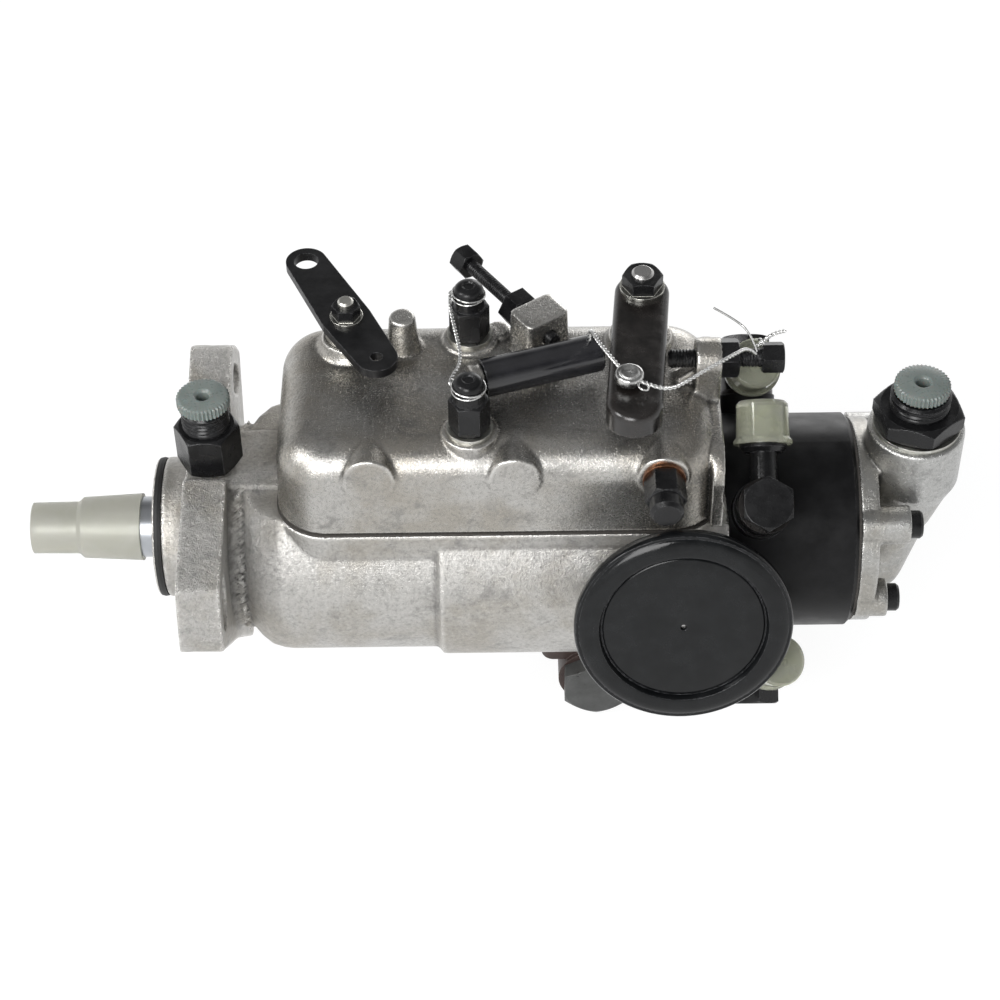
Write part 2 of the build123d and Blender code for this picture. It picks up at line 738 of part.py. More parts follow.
with BuildPart() as throttle_lever:
    # channel-shaped arm: a long round-ended plate whose edge turns down
    with BuildSketch(Plane.XY.offset(skirt_bottom)):
        with BuildSketch(mode=Mode.PRIVATE) as channel:
            with Locations(throttle_centre, throttle_end):
                Circle(throttle_half)
        make_hull(channel.sketch.edges())
    extrude(amount=throttle_top - skirt_bottom)
    fillet(throttle_lever.faces().sort_by(Axis.Z)[-1].edges(), 2.4)
    with BuildSketch(Plane.XY.offset(skirt_bottom)):
        with BuildSketch(mode=Mode.PRIVATE) as hollow:
            with Locations(throttle_centre, throttle_end):
                Circle(throttle_half - skirt_thick)
        make_hull(hollow.sketch.edges())
    extrude(amount=throttle_skirt, mode=Mode.SUBTRACT)
    with BuildSketch(Plane.XY.offset(skirt_bottom)):
        with Locations((throttle_x - throttle_half - 0.5, throttle_y - 13)):
            Rectangle(6, 7)
    extrude(amount=throttle_skirt, mode=Mode.SUBTRACT)
    rod(
        upright(*throttle_centre, 0), throttle_shaft_radius + fit, skirt_bottom - 1, throttle_top + 1,
        mode=Mode.SUBTRACT)

throttle_lever.part.label = "throttle_lever"
export_step(throttle_lever.part, "parts/throttle_lever.step")

peg = (
    throttle_x + spring_peg_reach * cos(radians(spring_peg_angle)),
    throttle_y + spring_peg_reach * sin(radians(spring_peg_angle)))

with BuildPart() as throttle_shaft:
    lathe(upright(*throttle_centre, 0), (
        (0, inner_arm_z), (inner_neck_radius, inner_arm_z), (inner_neck_radius, cavity_top),
        (throttle_shaft_radius, cavity_top),
        (throttle_shaft_radius, throttle_seat_z + seat), (throttle_collar_radius, throttle_seat_z + seat),
        (throttle_collar_radius, skirt_bottom), (throttle_shaft_radius + 0.6, skirt_bottom),
        (throttle_shaft_radius + 0.6, throttle_plate_z), (throttle_shaft_radius, throttle_plate_z),
        (throttle_shaft_radius, throttle_top), (throttle_thread_radius, throttle_top),
        (throttle_thread_radius, throttle_shaft_top - 0.8),
        (throttle_thread_radius - 0.8, throttle_shaft_top),
        (0, throttle_shaft_top)))
    # stop arm that meets the idle screw
    with BuildSketch(Plane.XY.offset(stop_arm_z)):
        with BuildSketch(mode=Mode.PRIVATE) as arm:
            with Locations(throttle_centre):
                Circle(throttle_collar_radius)
            with Locations((throttle_x - 3, idle_y)):
                Circle(stop_arm_end)
        make_hull(arm.sketch.edges())
    extrude(amount=stop_arm_thick)
    # inner arm with the spring's peg
    with BuildSketch(Plane.XY.offset(inner_arm_z)):
        with BuildSketch(mode=Mode.PRIVATE) as arm:
            with Locations(throttle_centre):
                Circle(inner_neck_radius)
            with Locations(peg):
                Circle(2)
        make_hull(arm.sketch.edges())
    extrude(amount=2)
    rod(upright(*peg, 0), 1.2, spring_z - 2, inner_arm_z)

throttle_shaft.part.label = "throttle_shaft"
export_step(throttle_shaft.part, "parts/throttle_shaft.step")

with BuildPart() as throttle_lever_nut:
    washer_top = throttle_top + lever_washer
    hexagon(upright(*throttle_centre, 0), hex_small, washer_top, washer_top + 4.4)
    ring(upright(*throttle_centre, 0), 7, throttle_thread_radius + fit, throttle_top, washer_top)
    rod(
        upright(*throttle_centre, 0), throttle_thread_radius + fit, throttle_top, throttle_shaft_top,
        mode=Mode.SUBTRACT)

throttle_lever_nut.part.label = "throttle_lever_nut"
export_step(throttle_lever_nut.part, "parts/throttle_lever_nut.step")

# ------------------------------------------------------------------ lead seal and its wires
wire_radius = 0.7
lead_radius = 4.4
lead_thick = 3.5
seal_place = (143.9, -24.8, throttle_top + 1.0)


def wire(*points):
    """A twisted wire as one round cord: straight runs joined by arcs as large as the runs allow."""
    stops = [Vector(*point) for point in points]
    runs = [after - before for before, after in zip(stops, stops[1:])]
    bends = []
    for before, after in zip(runs, runs[1:]):
        half_turn = radians(before.get_angle(after)) / 2
        bends.append(0.45 * min(before.length, after.length) / tan(half_turn))
    with BuildLine() as route:
        FilletPolyline(*stops, radius=bends)
    with BuildSketch(Plane(origin=stops[0], z_dir=runs[0].normalized())) as section:
        Circle(wire_radius)
    sweep(section.sketch, path=route.line)


with BuildPart() as lead_seal:
    lathe(upright(*seal_place), (
        (0, 0), (lead_radius - 0.7, 0), (lead_radius, 0.7), (lead_radius, lead_thick - 0.7),
        (lead_radius - 0.7, lead_thick),
        (0, lead_thick)))

lead_seal.part.label = "lead_seal"
export_step(lead_seal.part, "parts/lead_seal.step")

wire_hole = Vector(*sleeve_start) + (Vector(*sleeve_end) - Vector(*sleeve_start)).normalized() * (
    sleeve_length - 3.5)

with BuildPart() as seal_wires:
    # from the sleeve's hole to the lead seal
    wire(
        (wire_hole.X, wire_hole.Y, sleeve_z + 3.8), (wire_hole.X, wire_hole.Y, sleeve_z + 11.5),
        (134.0, -5.0, 87.0),
         (138.0, -16.0, 88.4), (142.4, -22.6, 86.6))
    # from the lead seal over the throttle lever to the idle screw
    wire((146.2, -26.2, 86.6), (155.2, -31.0, 86.4), (164.4, -24.1, 86.2), (176.0, -15.0, 86.2),
         (182.6, idle_y - 5.6, idle_z + 9.0), (184.5, idle_y - 2.9, idle_z + 2.8))
    # its two loose ends
    wire(
        (184.9, idle_y - 1.5, idle_z + 3.6), (182.5, idle_y + 0.9, idle_z + 9.6),
        (177.5, idle_y + 4.1, idle_z + 12.0),
         (170.6, idle_y + 4.3, idle_z + 16.5))
    wire(
        (188.6, idle_y + 0.9, idle_z + 5.9), (190.4, idle_y + 2.1, idle_z + 8.6),
        (194.0, idle_y + 0.7, idle_z + 10.6))
    # round the necks of the two cover nuts
    wire((90.2, stud_y + 1.6, nut_top - 3.0), (90.2, stud_y - 3.5, nut_top - 3.2), (91.8, 4.0, nut_top - 3.8),
         (93.4, -10.0, nut_top - 3.2), (90.6, 1.75 - stud_y, nut_top - 3.0))

seal_wires.part.label = "seal_wires"
export_step(seal_wires.part, "parts/seal_wires.step")

# ------------------------------------------------------------------ hydraulic head and delivery
eye_start = outlet_flat + washer_thick
eye_end = eye_start + banjo_thick
head_seat = eye_end + washer_thick
bolt_root = 24.0
tube_sides = {50.0: 1, 140.0: -1, 230.0: 1, 320.0: 1}
tube_leans = {50.0: 0.0, 140.0: 0.0, 230.0: 0.0, 320.0: 10.0}
oring_groove_x = housing_end - 8.5


def outlet_place(angle):
    """Outlet axis, with its x direction along the delivery tube."""
    side = tube_sides[angle]
    lean = radians(tube_leans[angle])
    out = (0, -cos(radians(angle)), sin(radians(angle)))
    along = (sin(lean), side * cos(lean) * sin(radians(angle)), side * cos(lean) * cos(radians(angle)))
    return Plane(origin=(outlet_x, 0, 0), x_dir=along, z_dir=out)


def tube_place(angle):
    """Axis of a delivery tube, from the middle of its banjo eye."""
    outlet = outlet_place(angle)
    middle = outlet.origin + outlet.z_dir * (eye_start + banjo_thick / 2)
    return Plane(origin=middle, x_dir=outlet.z_dir, z_dir=outlet.x_dir)


with BuildPart() as hydraulic_head:
    nose_radius = head_bore_radius - running
    lathe(shaft_line, (
        (rotor_radius + running, head_nose_x), (nose_radius, head_nose_x), (nose_radius, oring_groove_x),
        (nose_radius - 1.8, oring_groove_x), (nose_radius - 1.8, oring_groove_x + 2.8),
        (nose_radius, oring_groove_x + 2.8),
        (nose_radius, housing_end), (head_radius, head_x - 0.5), (head_radius, head_end - 1.2),
        (head_radius - 1.2, head_end), (liner_radius + fit, head_end), (liner_radius + fit, liner_x),
        (rotor_radius + running, liner_x)))
    for angle in outlet_angles:
        rod(outlet_place(angle), outlet_boss_radius, head_radius - 5, outlet_flat)
    for angle in outlet_angles:
        rod(outlet_place(angle), bolt_radius + fit, bolt_root, outlet_flat + 1, mode=Mode.SUBTRACT)
    # bore and counterbore of the metering valve
    rod(upright(metering_x, 0, 0), metering_radius + running, metering_bottom, 40, mode=Mode.SUBTRACT)

hydraulic_head.part.label = "hydraulic_head"
export_step(hydraulic_head.part, "parts/hydraulic_head.step")

with BuildPart() as o_rings:
    lathe(shaft_line, (
        (groove_radius + fit, oring_x - oring_radius + fit),
        (spigot_radius - 0.3, oring_x - oring_radius + fit),
        (spigot_radius - 0.05, oring_x), (spigot_radius - 0.3, oring_x + oring_radius - fit),
        (groove_radius + fit, oring_x + oring_radius - fit)))
    ring(shaft_line, nose_radius - 0.05, nose_radius - 1.8 + fit, oring_groove_x + 0.2, oring_groove_x + 2.6)

o_rings.part.label = "o_rings"
export_step(o_rings.part, "parts/o_rings.step")

with BuildPart() as delivery_banjos:
    for angle in outlet_angles:
        tube = tube_place(angle)
        ring(outlet_place(angle), banjo_radius, bolt_radius, eye_start, eye_end)
        rod(tube, tube_radius, banjo_radius - 1.2, pipe_thread_start + 2)
        lathe(tube, (
            (0, pipe_thread_start), (pipe_thread_radius - 1.2, pipe_thread_start),
            (pipe_thread_radius, pipe_thread_start + 1.4), (pipe_thread_radius, pipe_end), (0, pipe_end)))
    for angle in outlet_angles:
        rod(tube_place(angle), 1.6, bolt_radius - 1, pipe_end + 1, mode=Mode.SUBTRACT)
        rod(outlet_place(angle), bolt_radius + seat, eye_start - 1, eye_end + 1, mode=Mode.SUBTRACT)

delivery_banjos.part.label = "delivery_banjos"
export_step(delivery_banjos.part, "parts/delivery_banjos.step")

cap_start = tube_reach - cap_length

with BuildPart() as delivery_caps:
    for angle in outlet_angles:
        lathe(tube_place(angle), (
            (pipe_thread_radius + fit, cap_start), (cap_radius + cap_lip, cap_start),
            (cap_radius + cap_lip, cap_start + 1.2),
            (cap_radius, cap_start + 2.2), (cap_radius - 0.3, tube_reach - 1), (cap_radius - 1.2, tube_reach),
            (0, tube_reach),
            (0, pipe_end + fit), (pipe_thread_radius + fit, pipe_end + fit)))

delivery_caps.part.label = "delivery_caps"
export_step(delivery_caps.part, "parts/delivery_caps.step")

with BuildPart() as banjo_bolts:
    for angle in outlet_angles:
        hexagon(outlet_place(angle), bolt_hex, head_seat, head_seat + bolt_head)
        rod(outlet_place(angle), bolt_radius, bolt_root, head_seat)

banjo_bolts.part.label = "banjo_bolts"
export_step(banjo_bolts.part, "parts/banjo_bolts.step")

backleak_seat = pad_top
inlet_seat = inlet_boss_top + washer_thick

with BuildPart() as sealing_washers:
    for angle in outlet_angles:
        ring(outlet_place(angle), banjo_radius, bolt_radius + seat, outlet_flat, eye_start)
        ring(outlet_place(angle), banjo_radius, bolt_radius + seat, eye_end, head_seat)
    for y in (stud_y, -stud_y):
        ring(upright(stud_x, y, 0), 7.2, stud_radius + seat, nut_seat_z, nut_foot)
    ring(vent_line, 6.6, screw_radius + seat, 0, washer_thick)
    ring(upright(inlet_x, 0, 0), 14, inlet_thread_radius + seat, inlet_boss_top, inlet_seat)

sealing_washers.part.label = "sealing_washers"
export_step(sealing_washers.part, "parts/sealing_washers.step")

# ------------------------------------------------------------------ unions with their shipping plugs
plug_depth = 12.0

with BuildPart() as backleak_union:
    backleak_line = upright(backleak_x, 0, 0)
    hexagon(backleak_line, backleak_hex, backleak_seat, backleak_seat + backleak_hex_high)
    lathe(backleak_line, (
        (0, backleak_seat - 10), (backleak_thread_radius, backleak_seat - 10),
        (backleak_thread_radius, backleak_seat + 1),
        (7.6, backleak_seat + backleak_hex_high - 1), (7.6, backleak_top - 0.6), (7, backleak_top),
        (0, backleak_top)))
    rod(backleak_line, 5.2, backleak_top - plug_depth, backleak_top + 1, mode=Mode.SUBTRACT)
    rod(backleak_line, 2, backleak_seat - 11, backleak_top - plug_depth + 1, mode=Mode.SUBTRACT)

backleak_union.part.label = "backleak_union"
export_step(backleak_union.part, "parts/backleak_union.step")

with BuildPart() as inlet_union:
    inlet_line = upright(inlet_x, 0, 0)
    hexagon(inlet_line, inlet_hex, inlet_seat, inlet_seat + inlet_hex_high)
    lathe(inlet_line, (
        (0, inlet_boss_top - inlet_thread_depth), (inlet_thread_radius, inlet_boss_top - inlet_thread_depth),
        (inlet_thread_radius, inlet_seat), (9.6, inlet_seat + inlet_hex_high - 1), (9.6, inlet_top - 0.6),
        (9, inlet_top),
        (0, inlet_top)))
    rod(inlet_line, 6.2, inlet_top - plug_depth - 2, inlet_top + 1, mode=Mode.SUBTRACT)
    rod(
        inlet_line, 4, inlet_boss_top - inlet_thread_depth - 1, inlet_top - plug_depth - 1,
        mode=Mode.SUBTRACT)

inlet_union.part.label = "inlet_union"
export_step(inlet_union.part, "parts/inlet_union.step")


def union_plug(x, top, flange_radius, stem, hole):
    """Push-in shipping plug with a serrated flange and a blind hole."""
    lathe(upright(x, 0, 0), (
        (0, top - 12), (stem - 0.6, top - 12), (stem, top - 11), (stem, top - 4),
        (flange_radius - 0.8, top - 4),
        (flange_radius - 0.8, top - 0.6), (flange_radius - 1.4, top), (hole, top), (hole, top - 9),
        (0, top - 9)))
    teeth = 24
    with BuildSketch(Plane.XY.offset(top - 4)) as rim:
        with Locations((x, 0)):
            with PolarLocations(flange_radius - 0.7, teeth):
                Rectangle(1.3, 1.1)
    extrude(rim.sketch, amount=3)


with BuildPart() as union_plugs:
    union_plug(backleak_x, backleak_top + plug_high, 8.4, 5.2 - fit, 2.8)
    union_plug(inlet_x, inlet_top + plug_high, 8.8, 6.2 - fit, 3.0)

union_plugs.part.label = "union_plugs"
export_step(union_plugs.part, "parts/union_plugs.step")

# ------------------------------------------------------------------ end plate
plate_face = head_end + plate_gasket_thick
plate_back = plate_face + plate_thick


def screw_places(place_angle):
    """The two sides of an end plate screw at one height."""
    y = plate_screw_radius * cos(radians(place_angle))
    z = plate_screw_radius * sin(radians(place_angle))
    return [Plane(origin=(0, side * y, z), x_dir=(0, 0, 1), z_dir=(1, 0, 0)) for side in (-1, 1)]


with BuildPart() as end_plate:
    # body that slants up from the plate to the inlet boss
    slant_start = (inlet_x, 0, inlet_boss_top - 12)
    slant_length = span(slant_start, slant_end)
    lathe(between(slant_start, slant_end), (
        (0, -6), (slant_start_radius - 1, -6), (slant_start_radius, 0), (slant_end_radius, slant_length),
        (0, slant_length)))
    rod(shaft_line, 60, plate_face - 60, plate_face, mode=Mode.SUBTRACT)
    rod(shaft_line, plate_radius, plate_face, plate_back)
    lathe(upright(inlet_x, 0, 0), (
        (0, 1), (7, 1), (9, 3), (13, 16), (inlet_boss_radius, 22), (inlet_boss_radius, inlet_boss_top - 0.8),
        (inlet_boss_radius - 0.8, inlet_boss_top), (0, inlet_boss_top)))
    for angle, end in zip(plate_screw_angles, plate_screw_seats):
        for place in screw_places(angle):
            rod(place, 6.2, plate_face, end)
    # inlet thread, the passage to the transfer pump, the regulating bore and the screw holes
    rod(
        upright(inlet_x, 0, 0), inlet_thread_radius + fit, inlet_boss_top - 14.5, inlet_boss_top + 1,
        mode=Mode.SUBTRACT)
    rod(upright(inlet_x, 0, 0), regulator_radius + running, 5, inlet_boss_top - 14, mode=Mode.SUBTRACT)
    for angle, end in zip(plate_screw_angles, plate_screw_seats):
        for place in screw_places(angle):
            rod(place, 2.5 + fit, plate_face - 1, end + 1, mode=Mode.SUBTRACT)

end_plate.part.label = "end_plate"
export_step(end_plate.part, "parts/end_plate.step")

with BuildPart() as end_plate_screws:
    for angle, end in zip(plate_screw_angles, plate_screw_seats):
        for place in screw_places(angle):
            lathe(place, (
                (0, plate_face), (2.5, plate_face), (2.5, end), (4.5, end), (4.5, end + 3.2), (3.9, end + 4),
                (0, end + 4)))
            with BuildSketch(place.offset(end + 1.6)) as socket:
                RegularPolygon(2.3, 6)
            extrude(socket.sketch, amount=3, mode=Mode.SUBTRACT)

end_plate_screws.part.label = "end_plate_screws"
export_step(end_plate_screws.part, "parts/end_plate_screws.step")

with BuildPart() as regulating_piston:
    lathe(
        upright(inlet_x, 0, 0),
        ((0, 7), (2.4, 7), (2.4, 11), (regulator_radius, 12), (regulator_radius, 19), (0, 19)))

regulating_piston.part.label = "regulating_piston"
export_step(regulating_piston.part, "parts/regulating_piston.step")

# ------------------------------------------------------------------ drive shaft with its seals and bush
with BuildPart() as drive_shaft:
    lathe(shaft_line, (
        (0, shaft_tip_x), (shaft_thread_radius - 1, shaft_tip_x), (shaft_thread_radius, shaft_tip_x + 1),
        (shaft_thread_radius, taper_end_x), (taper_small_radius, taper_end_x),
        (journal_radius, taper_start_x),
        (journal_radius, wall_front_x + seat), (collar_radius, wall_front_x + seat),
        (collar_radius, wall_front_x + seat + collar_thick),
        (carrier_seat_radius, wall_front_x + seat + collar_thick),
        (carrier_seat_radius, carrier_seat_x + carrier_hub_length),
        (slide_radius, carrier_seat_x + carrier_hub_length),
        (slide_radius, shaft_shoulder_x), (spline_root, shaft_shoulder_x),
        (spline_root, shaft_shoulder_x + spline_length),
        (0, shaft_shoulder_x + spline_length)))
    with BuildSketch(Plane.YZ.offset(shaft_shoulder_x)):
        with PolarLocations((spline_root + spline_tip) / 2 - 0.5, spline_count):
            Rectangle(spline_tip - spline_root + 1, spline_width)
    extrude(amount=spline_length)
    # keyway in the taper
    with BuildSketch(Plane.XY.offset(taper_small_radius - 2)):
        with Locations((taper_start_x - 2 - key_length / 2, 0)):
            SlotOverall(key_length + 2 * fit, key_width + 2 * fit)
    extrude(amount=4, mode=Mode.SUBTRACT)

drive_shaft.part.label = "drive_shaft"
export_step(drive_shaft.part, "parts/drive_shaft.step")

with BuildPart() as shaft_key:
    with BuildSketch(Plane.XY.offset(taper_small_radius - 2)):
        with Locations((taper_start_x - 2 - key_length / 2, 0)):
            SlotOverall(key_length, key_width)
    extrude(amount=2.3)

shaft_key.part.label = "shaft_key"
export_step(shaft_key.part, "parts/shaft_key.step")

with BuildPart() as shaft_cap:
    taper_rise = (journal_radius - taper_small_radius) / (taper_start_x - taper_end_x)
    mouth_x = taper_start_x - 0.6
    mouth_radius = journal_radius - 0.6 * taper_rise
    step_radius = taper_small_radius + 0.4
    tip_radius = shaft_thread_radius + 1.2
    lathe(shaft_line, (
        (mouth_radius + fit, mouth_x), (mouth_radius + cap_wall + 0.2, mouth_x),
        (step_radius + cap_wall, taper_end_x + 1),
        (tip_radius + cap_wall, taper_end_x - 0.6), (tip_radius + cap_wall - 0.2, shaft_tip_x - 0.6),
        (0, shaft_tip_x - 0.6), (0, shaft_tip_x - 0.02), (tip_radius - 0.2, shaft_tip_x - 0.02),
        (tip_radius, taper_end_x - fit),
        (taper_small_radius + fit, taper_end_x - fit)))

shaft_cap.part.label = "shaft_cap"
export_step(shaft_cap.part, "parts/shaft_cap.step")

with BuildPart() as shaft_seals:
    for start in (spigot_start_x + 0.6, spigot_start_x + 0.6 + seal_thick + 0.4):
        lathe(shaft_line, (
            (seal_radius, start), (seal_radius, start + seal_thick), (journal_radius + 2, start + seal_thick),
            (journal_radius + running, start + seal_thick - 1.4),
            (journal_radius + running, start + seal_thick - 2.2),
            (journal_radius + 2.4, start)))

shaft_seals.part.label = "shaft_seals"
export_step(shaft_seals.part, "parts/shaft_seals.step")

with BuildPart() as shaft_bush:
    ring(shaft_line, bush_radius, journal_radius + running, bush_start_x, wall_front_x - 0.5)

shaft_bush.part.label = "shaft_bush"
export_step(shaft_bush.part, "parts/shaft_bush.step")

# ------------------------------------------------------------------ governor
rear_face_x = thrust_rear_x + thrust_flange_thick
arm_pad_x = rear_face_x + seat + arm_pad_radius
arm_x = arm_pad_x + 1.2
tine_inner = thrust_hub_radius + 0.4
tine_outer = tine_inner + 2.6
ear_inner = tine_outer + 0.3
ear_outer = ear_inner + bracket_thick
link_y = 7.0
arm_link_hole = link_radius + loose + 0.2

with BuildPart() as weight_carrier:
    lathe(shaft_line, (
        (carrier_seat_radius + fit, carrier_seat_x), (carrier_radius, carrier_seat_x),
        (carrier_radius, carrier_seat_x + carrier_thick), (10.4, carrier_seat_x + carrier_thick),
        (10.4, carrier_seat_x + carrier_hub_length),
        (carrier_seat_radius + fit, carrier_seat_x + carrier_hub_length)))
    # pairs of ears with the pivot pins of the weights
    with BuildSketch(Plane.XZ) as ear:
        with BuildLine():
            Polyline(
                (carrier_seat_x + carrier_thick - 0.5, 16), (weight_pivot_x + 1.6, 18),
                (weight_pivot_x + 2.6, weight_pivot_r),
                (weight_pivot_x + 1.6, weight_pivot_r + 3),
                (carrier_seat_x + carrier_thick - 0.5, carrier_radius), close=True)
        make_face()
    for turn in range(weight_count):
        for start in (-weight_half - seat - ear_thick, weight_half + seat):
            ear_face = ear.sketch.moved(Location((0, -start, 0)))
            blade = extrude(ear_face, amount=ear_thick, dir=(0, -1, 0), mode=Mode.PRIVATE)
            add(blade.rotate(Axis.X, turn * 360 / weight_count))
        pin = Cylinder(
            weight_pin_radius, 2 * (weight_half + seat + ear_thick), rotation=(90, 0, 0), mode=Mode.PRIVATE)
        pin = pin.moved(Location((weight_pivot_x, 0, weight_pivot_r)))
        add(pin.rotate(Axis.X, turn * 360 / weight_count))

weight_carrier.part.label = "weight_carrier"
export_step(weight_carrier.part, "parts/weight_carrier.step")

for number in range(weight_count):
    with BuildPart() as governor_weight:
        with BuildSketch(Plane.XZ) as weight_side:
            with BuildLine():
                Polyline(
                    (weight_pivot_x - 2.4, weight_pivot_r - 2.6), (weight_pivot_x + 2.4, toe_r),
                    (weight_pivot_x + 3.5, toe_r),
                    (weight_pivot_x + 3.2, weight_inner), (weight_end_x, weight_inner + 1),
                    (weight_end_x, weight_outer),
                    (weight_pivot_x + 4, weight_outer), (weight_pivot_x - 2.4, weight_pivot_r + 2),
                    close=True)
            make_face()
            with Locations((weight_pivot_x + 3.5, toe_r)):
                Circle(toe_radius)
            with Locations((weight_pivot_x, weight_pivot_r)):
                Circle(weight_pin_radius + running, mode=Mode.SUBTRACT)
        extrude(weight_side.sketch, amount=weight_half, both=True)
    governor_weight.part = governor_weight.part.rotate(Axis.X, number * 360 / weight_count)
    governor_weight.part.label = f"governor_weight_{number + 1}"
    export_step(governor_weight.part, f"parts/governor_weight_{number + 1}.step")

with BuildPart() as thrust_sleeve:
    lathe(shaft_line, (
        (slide_radius + running, thrust_face_x), (thrust_flange_radius, thrust_face_x),
        (thrust_flange_radius, thrust_face_x + thrust_flange_thick),
        (thrust_hub_radius, thrust_face_x + thrust_flange_thick),
        (thrust_hub_radius, thrust_rear_x), (thrust_flange_radius, thrust_rear_x),
        (thrust_flange_radius, rear_face_x),
        (thrust_hub_radius, rear_face_x), (thrust_hub_radius, thrust_end_x),
        (slide_radius + running, thrust_end_x)))

thrust_sleeve.part.label = "thrust_sleeve"
export_step(thrust_sleeve.part, "parts/thrust_sleeve.step")

with BuildPart() as control_bracket:
    # plate under the two studs, with a window and two bent-down ears that hold the pivot pin
    with BuildSketch(Plane.XY.offset(deck_z)):
        with Locations((arm_x + 2, 0)):
            RectangleRounded(24, 2 * (stud_y + 5), 3)
        with Locations((arm_x, 0)):
            Rectangle(16, 2 * ear_inner, mode=Mode.SUBTRACT)
        with Locations((stud_x, stud_y), (stud_x, -stud_y)):
            Circle(stud_radius + seat, mode=Mode.SUBTRACT)
    extrude(amount=bracket_thick)
    with BuildSketch(Plane.XZ) as ear_shape:
        with Locations((arm_x, (arm_pivot_z + deck_z) / 2 + 1)):
            Rectangle(8, deck_z - arm_pivot_z + 2)
        with Locations((arm_x, arm_pivot_z)):
            Circle(4)
    extrude(ear_shape.sketch.moved(Location((0, -ear_inner, 0))), amount=bracket_thick, dir=(0, -1, 0))
    extrude(ear_shape.sketch.moved(Location((0, ear_inner, 0))), amount=bracket_thick, dir=(0, 1, 0))
    rod(Plane(origin=(arm_x, -ear_outer, arm_pivot_z), z_dir=(0, 1, 0)), arm_pin_radius, 0, 2 * ear_outer)

control_bracket.part.label = "control_bracket"
export_step(control_bracket.part, "parts/control_bracket.step")

with BuildPart() as governor_arm:
    with BuildSketch(Plane.YZ.offset(arm_x - arm_plate / 2)):
        with BuildLine():
            Polyline(
                (-tine_outer, arm_pivot_z - 4), (-tine_outer, arm_pivot_z + 4), (-4, arm_top_z),
                (4, arm_top_z),
                (tine_outer, arm_pivot_z + 4), (tine_outer, arm_pivot_z - 4), close=True)
        make_face()
        for side in (-1, 1):
            with Locations((side * (tine_inner + tine_outer) / 2, arm_pivot_z / 2 - 2)):
                Rectangle(tine_outer - tine_inner, arm_pivot_z + 2)
        with Locations((link_y, link_z)):
            Circle(arm_link_hole, mode=Mode.SUBTRACT)
        with Locations((0, spring_z)):
            Circle(2.0, mode=Mode.SUBTRACT)
    extrude(amount=arm_plate)
    pivot_line = Plane(origin=(arm_x, 0, arm_pivot_z), z_dir=(0, 1, 0))
    rod(pivot_line, 3.2, -tine_outer, tine_outer)
    for side in (-1, 1):
        pad = Plane(origin=(arm_pad_x, side * (tine_inner + tine_outer) / 2, 0), z_dir=(0, 1, 0))
        rod(pad, arm_pad_radius, -1.3, 1.3)
    rod(pivot_line, arm_pin_radius + running, -tine_outer - 1, tine_outer + 1, mode=Mode.SUBTRACT)

governor_arm.part.label = "governor_arm"
export_step(governor_arm.part, "parts/governor_arm.step")


hook_start = (arm_x - 1.0, 0, spring_z)
hook_end = (peg[0] - 2.2, peg[1] - 1.0, spring_z)
spring_line = between(hook_start, hook_end)
spring_length = span(hook_start, hook_end)
coil_start = 14.0
coil_end = spring_length - 12.0
coil_turns = 9
coil_radius = spring_radius - spring_wire
bent_reach = coil_radius - spring_wire - 0.05

with BuildPart() as spring_coil:
    pitch = (coil_end - coil_start) / coil_turns
    coil_path = Helix(pitch, coil_end - coil_start, coil_radius)
    with BuildSketch(Plane(origin=coil_path @ 0, z_dir=coil_path % 0)) as coil_wire:
        Circle(spring_wire)
    sweep(coil_wire.sketch, path=coil_path, is_frenet=True)

with BuildPart() as governor_spring:
    # coil in the middle; at each end the wire bends in to a straight rod, which hooks on the arm or the peg
    add(spring_coil.part.moved(spring_line.offset(coil_start).location))
    for turn, start, end in ((coil_start, -2.6, coil_start + 0.2), (coil_end, coil_end - 0.2, spring_length + 0.5)):
        bent = spring_line.offset(turn)
        rod(Plane(origin=bent.origin, z_dir=bent.x_dir), spring_wire - 0.07, 0, bent_reach)
        rod(spring_line, spring_wire, start, end)
    rod(spring_line.offset(-3), 3.0, 0, 0.8)
    ring(upright(*peg, 0), 2.4, 1.2 + seat, spring_z - 0.7, spring_z + 0.7)

governor_spring.part.label = "governor_spring"
export_step(governor_spring.part, "parts/governor_spring.step")

# ------------------------------------------------------------------ pumping and distributing parts
with BuildPart() as distributor_rotor:
    lathe(shaft_line, (
        (spline_tip + 0.2, shaft_shoulder_x + seat), (13, shaft_shoulder_x + seat), (13, cam_x - 9.5),
        (rotor_head_radius, cam_x - 9.5), (rotor_head_radius, cam_x + 9.5), (rotor_radius, cam_x + 9.5),
        (rotor_radius, liner_x - seat), (transfer_radius - 4, liner_x - seat),
        (transfer_radius - 4, head_end - seat),
        (0, head_end - seat), (0, shaft_shoulder_x + spline_length + seat),
        (spline_tip + 0.2, shaft_shoulder_x + spline_length + seat)))
    # slots of the two shoes and the cross bore of the plungers
    for side in (-1, 1):
        shoe_way = Plane(origin=(cam_x, 0, 0), x_dir=(1, 0, 0), z_dir=(0, 0, side))
        with BuildSketch(shoe_way.offset(roller_orbit - roller_radius - 3)) as way:
            Rectangle(roller_length + 1.2, 2 * (shoe_half + running))
        extrude(way.sketch, amount=12, mode=Mode.SUBTRACT)
    rod(upright(cam_x, 0, 0), plunger_radius + running, -12, 12, mode=Mode.SUBTRACT)

distributor_rotor.part.label = "distributor_rotor"
export_step(distributor_rotor.part, "parts/distributor_rotor.step")

shoe_base = roller_orbit - roller_radius - 3 + seat

with BuildPart() as pump_plungers:
    for side in (-1, 1):
        rod(
            Plane(origin=(cam_x, 0, 0), x_dir=(1, 0, 0), z_dir=(0, 0, side)), plunger_radius, 0.6,
            shoe_base - 0.05)

pump_plungers.part.label = "pump_plungers"
export_step(pump_plungers.part, "parts/pump_plungers.step")

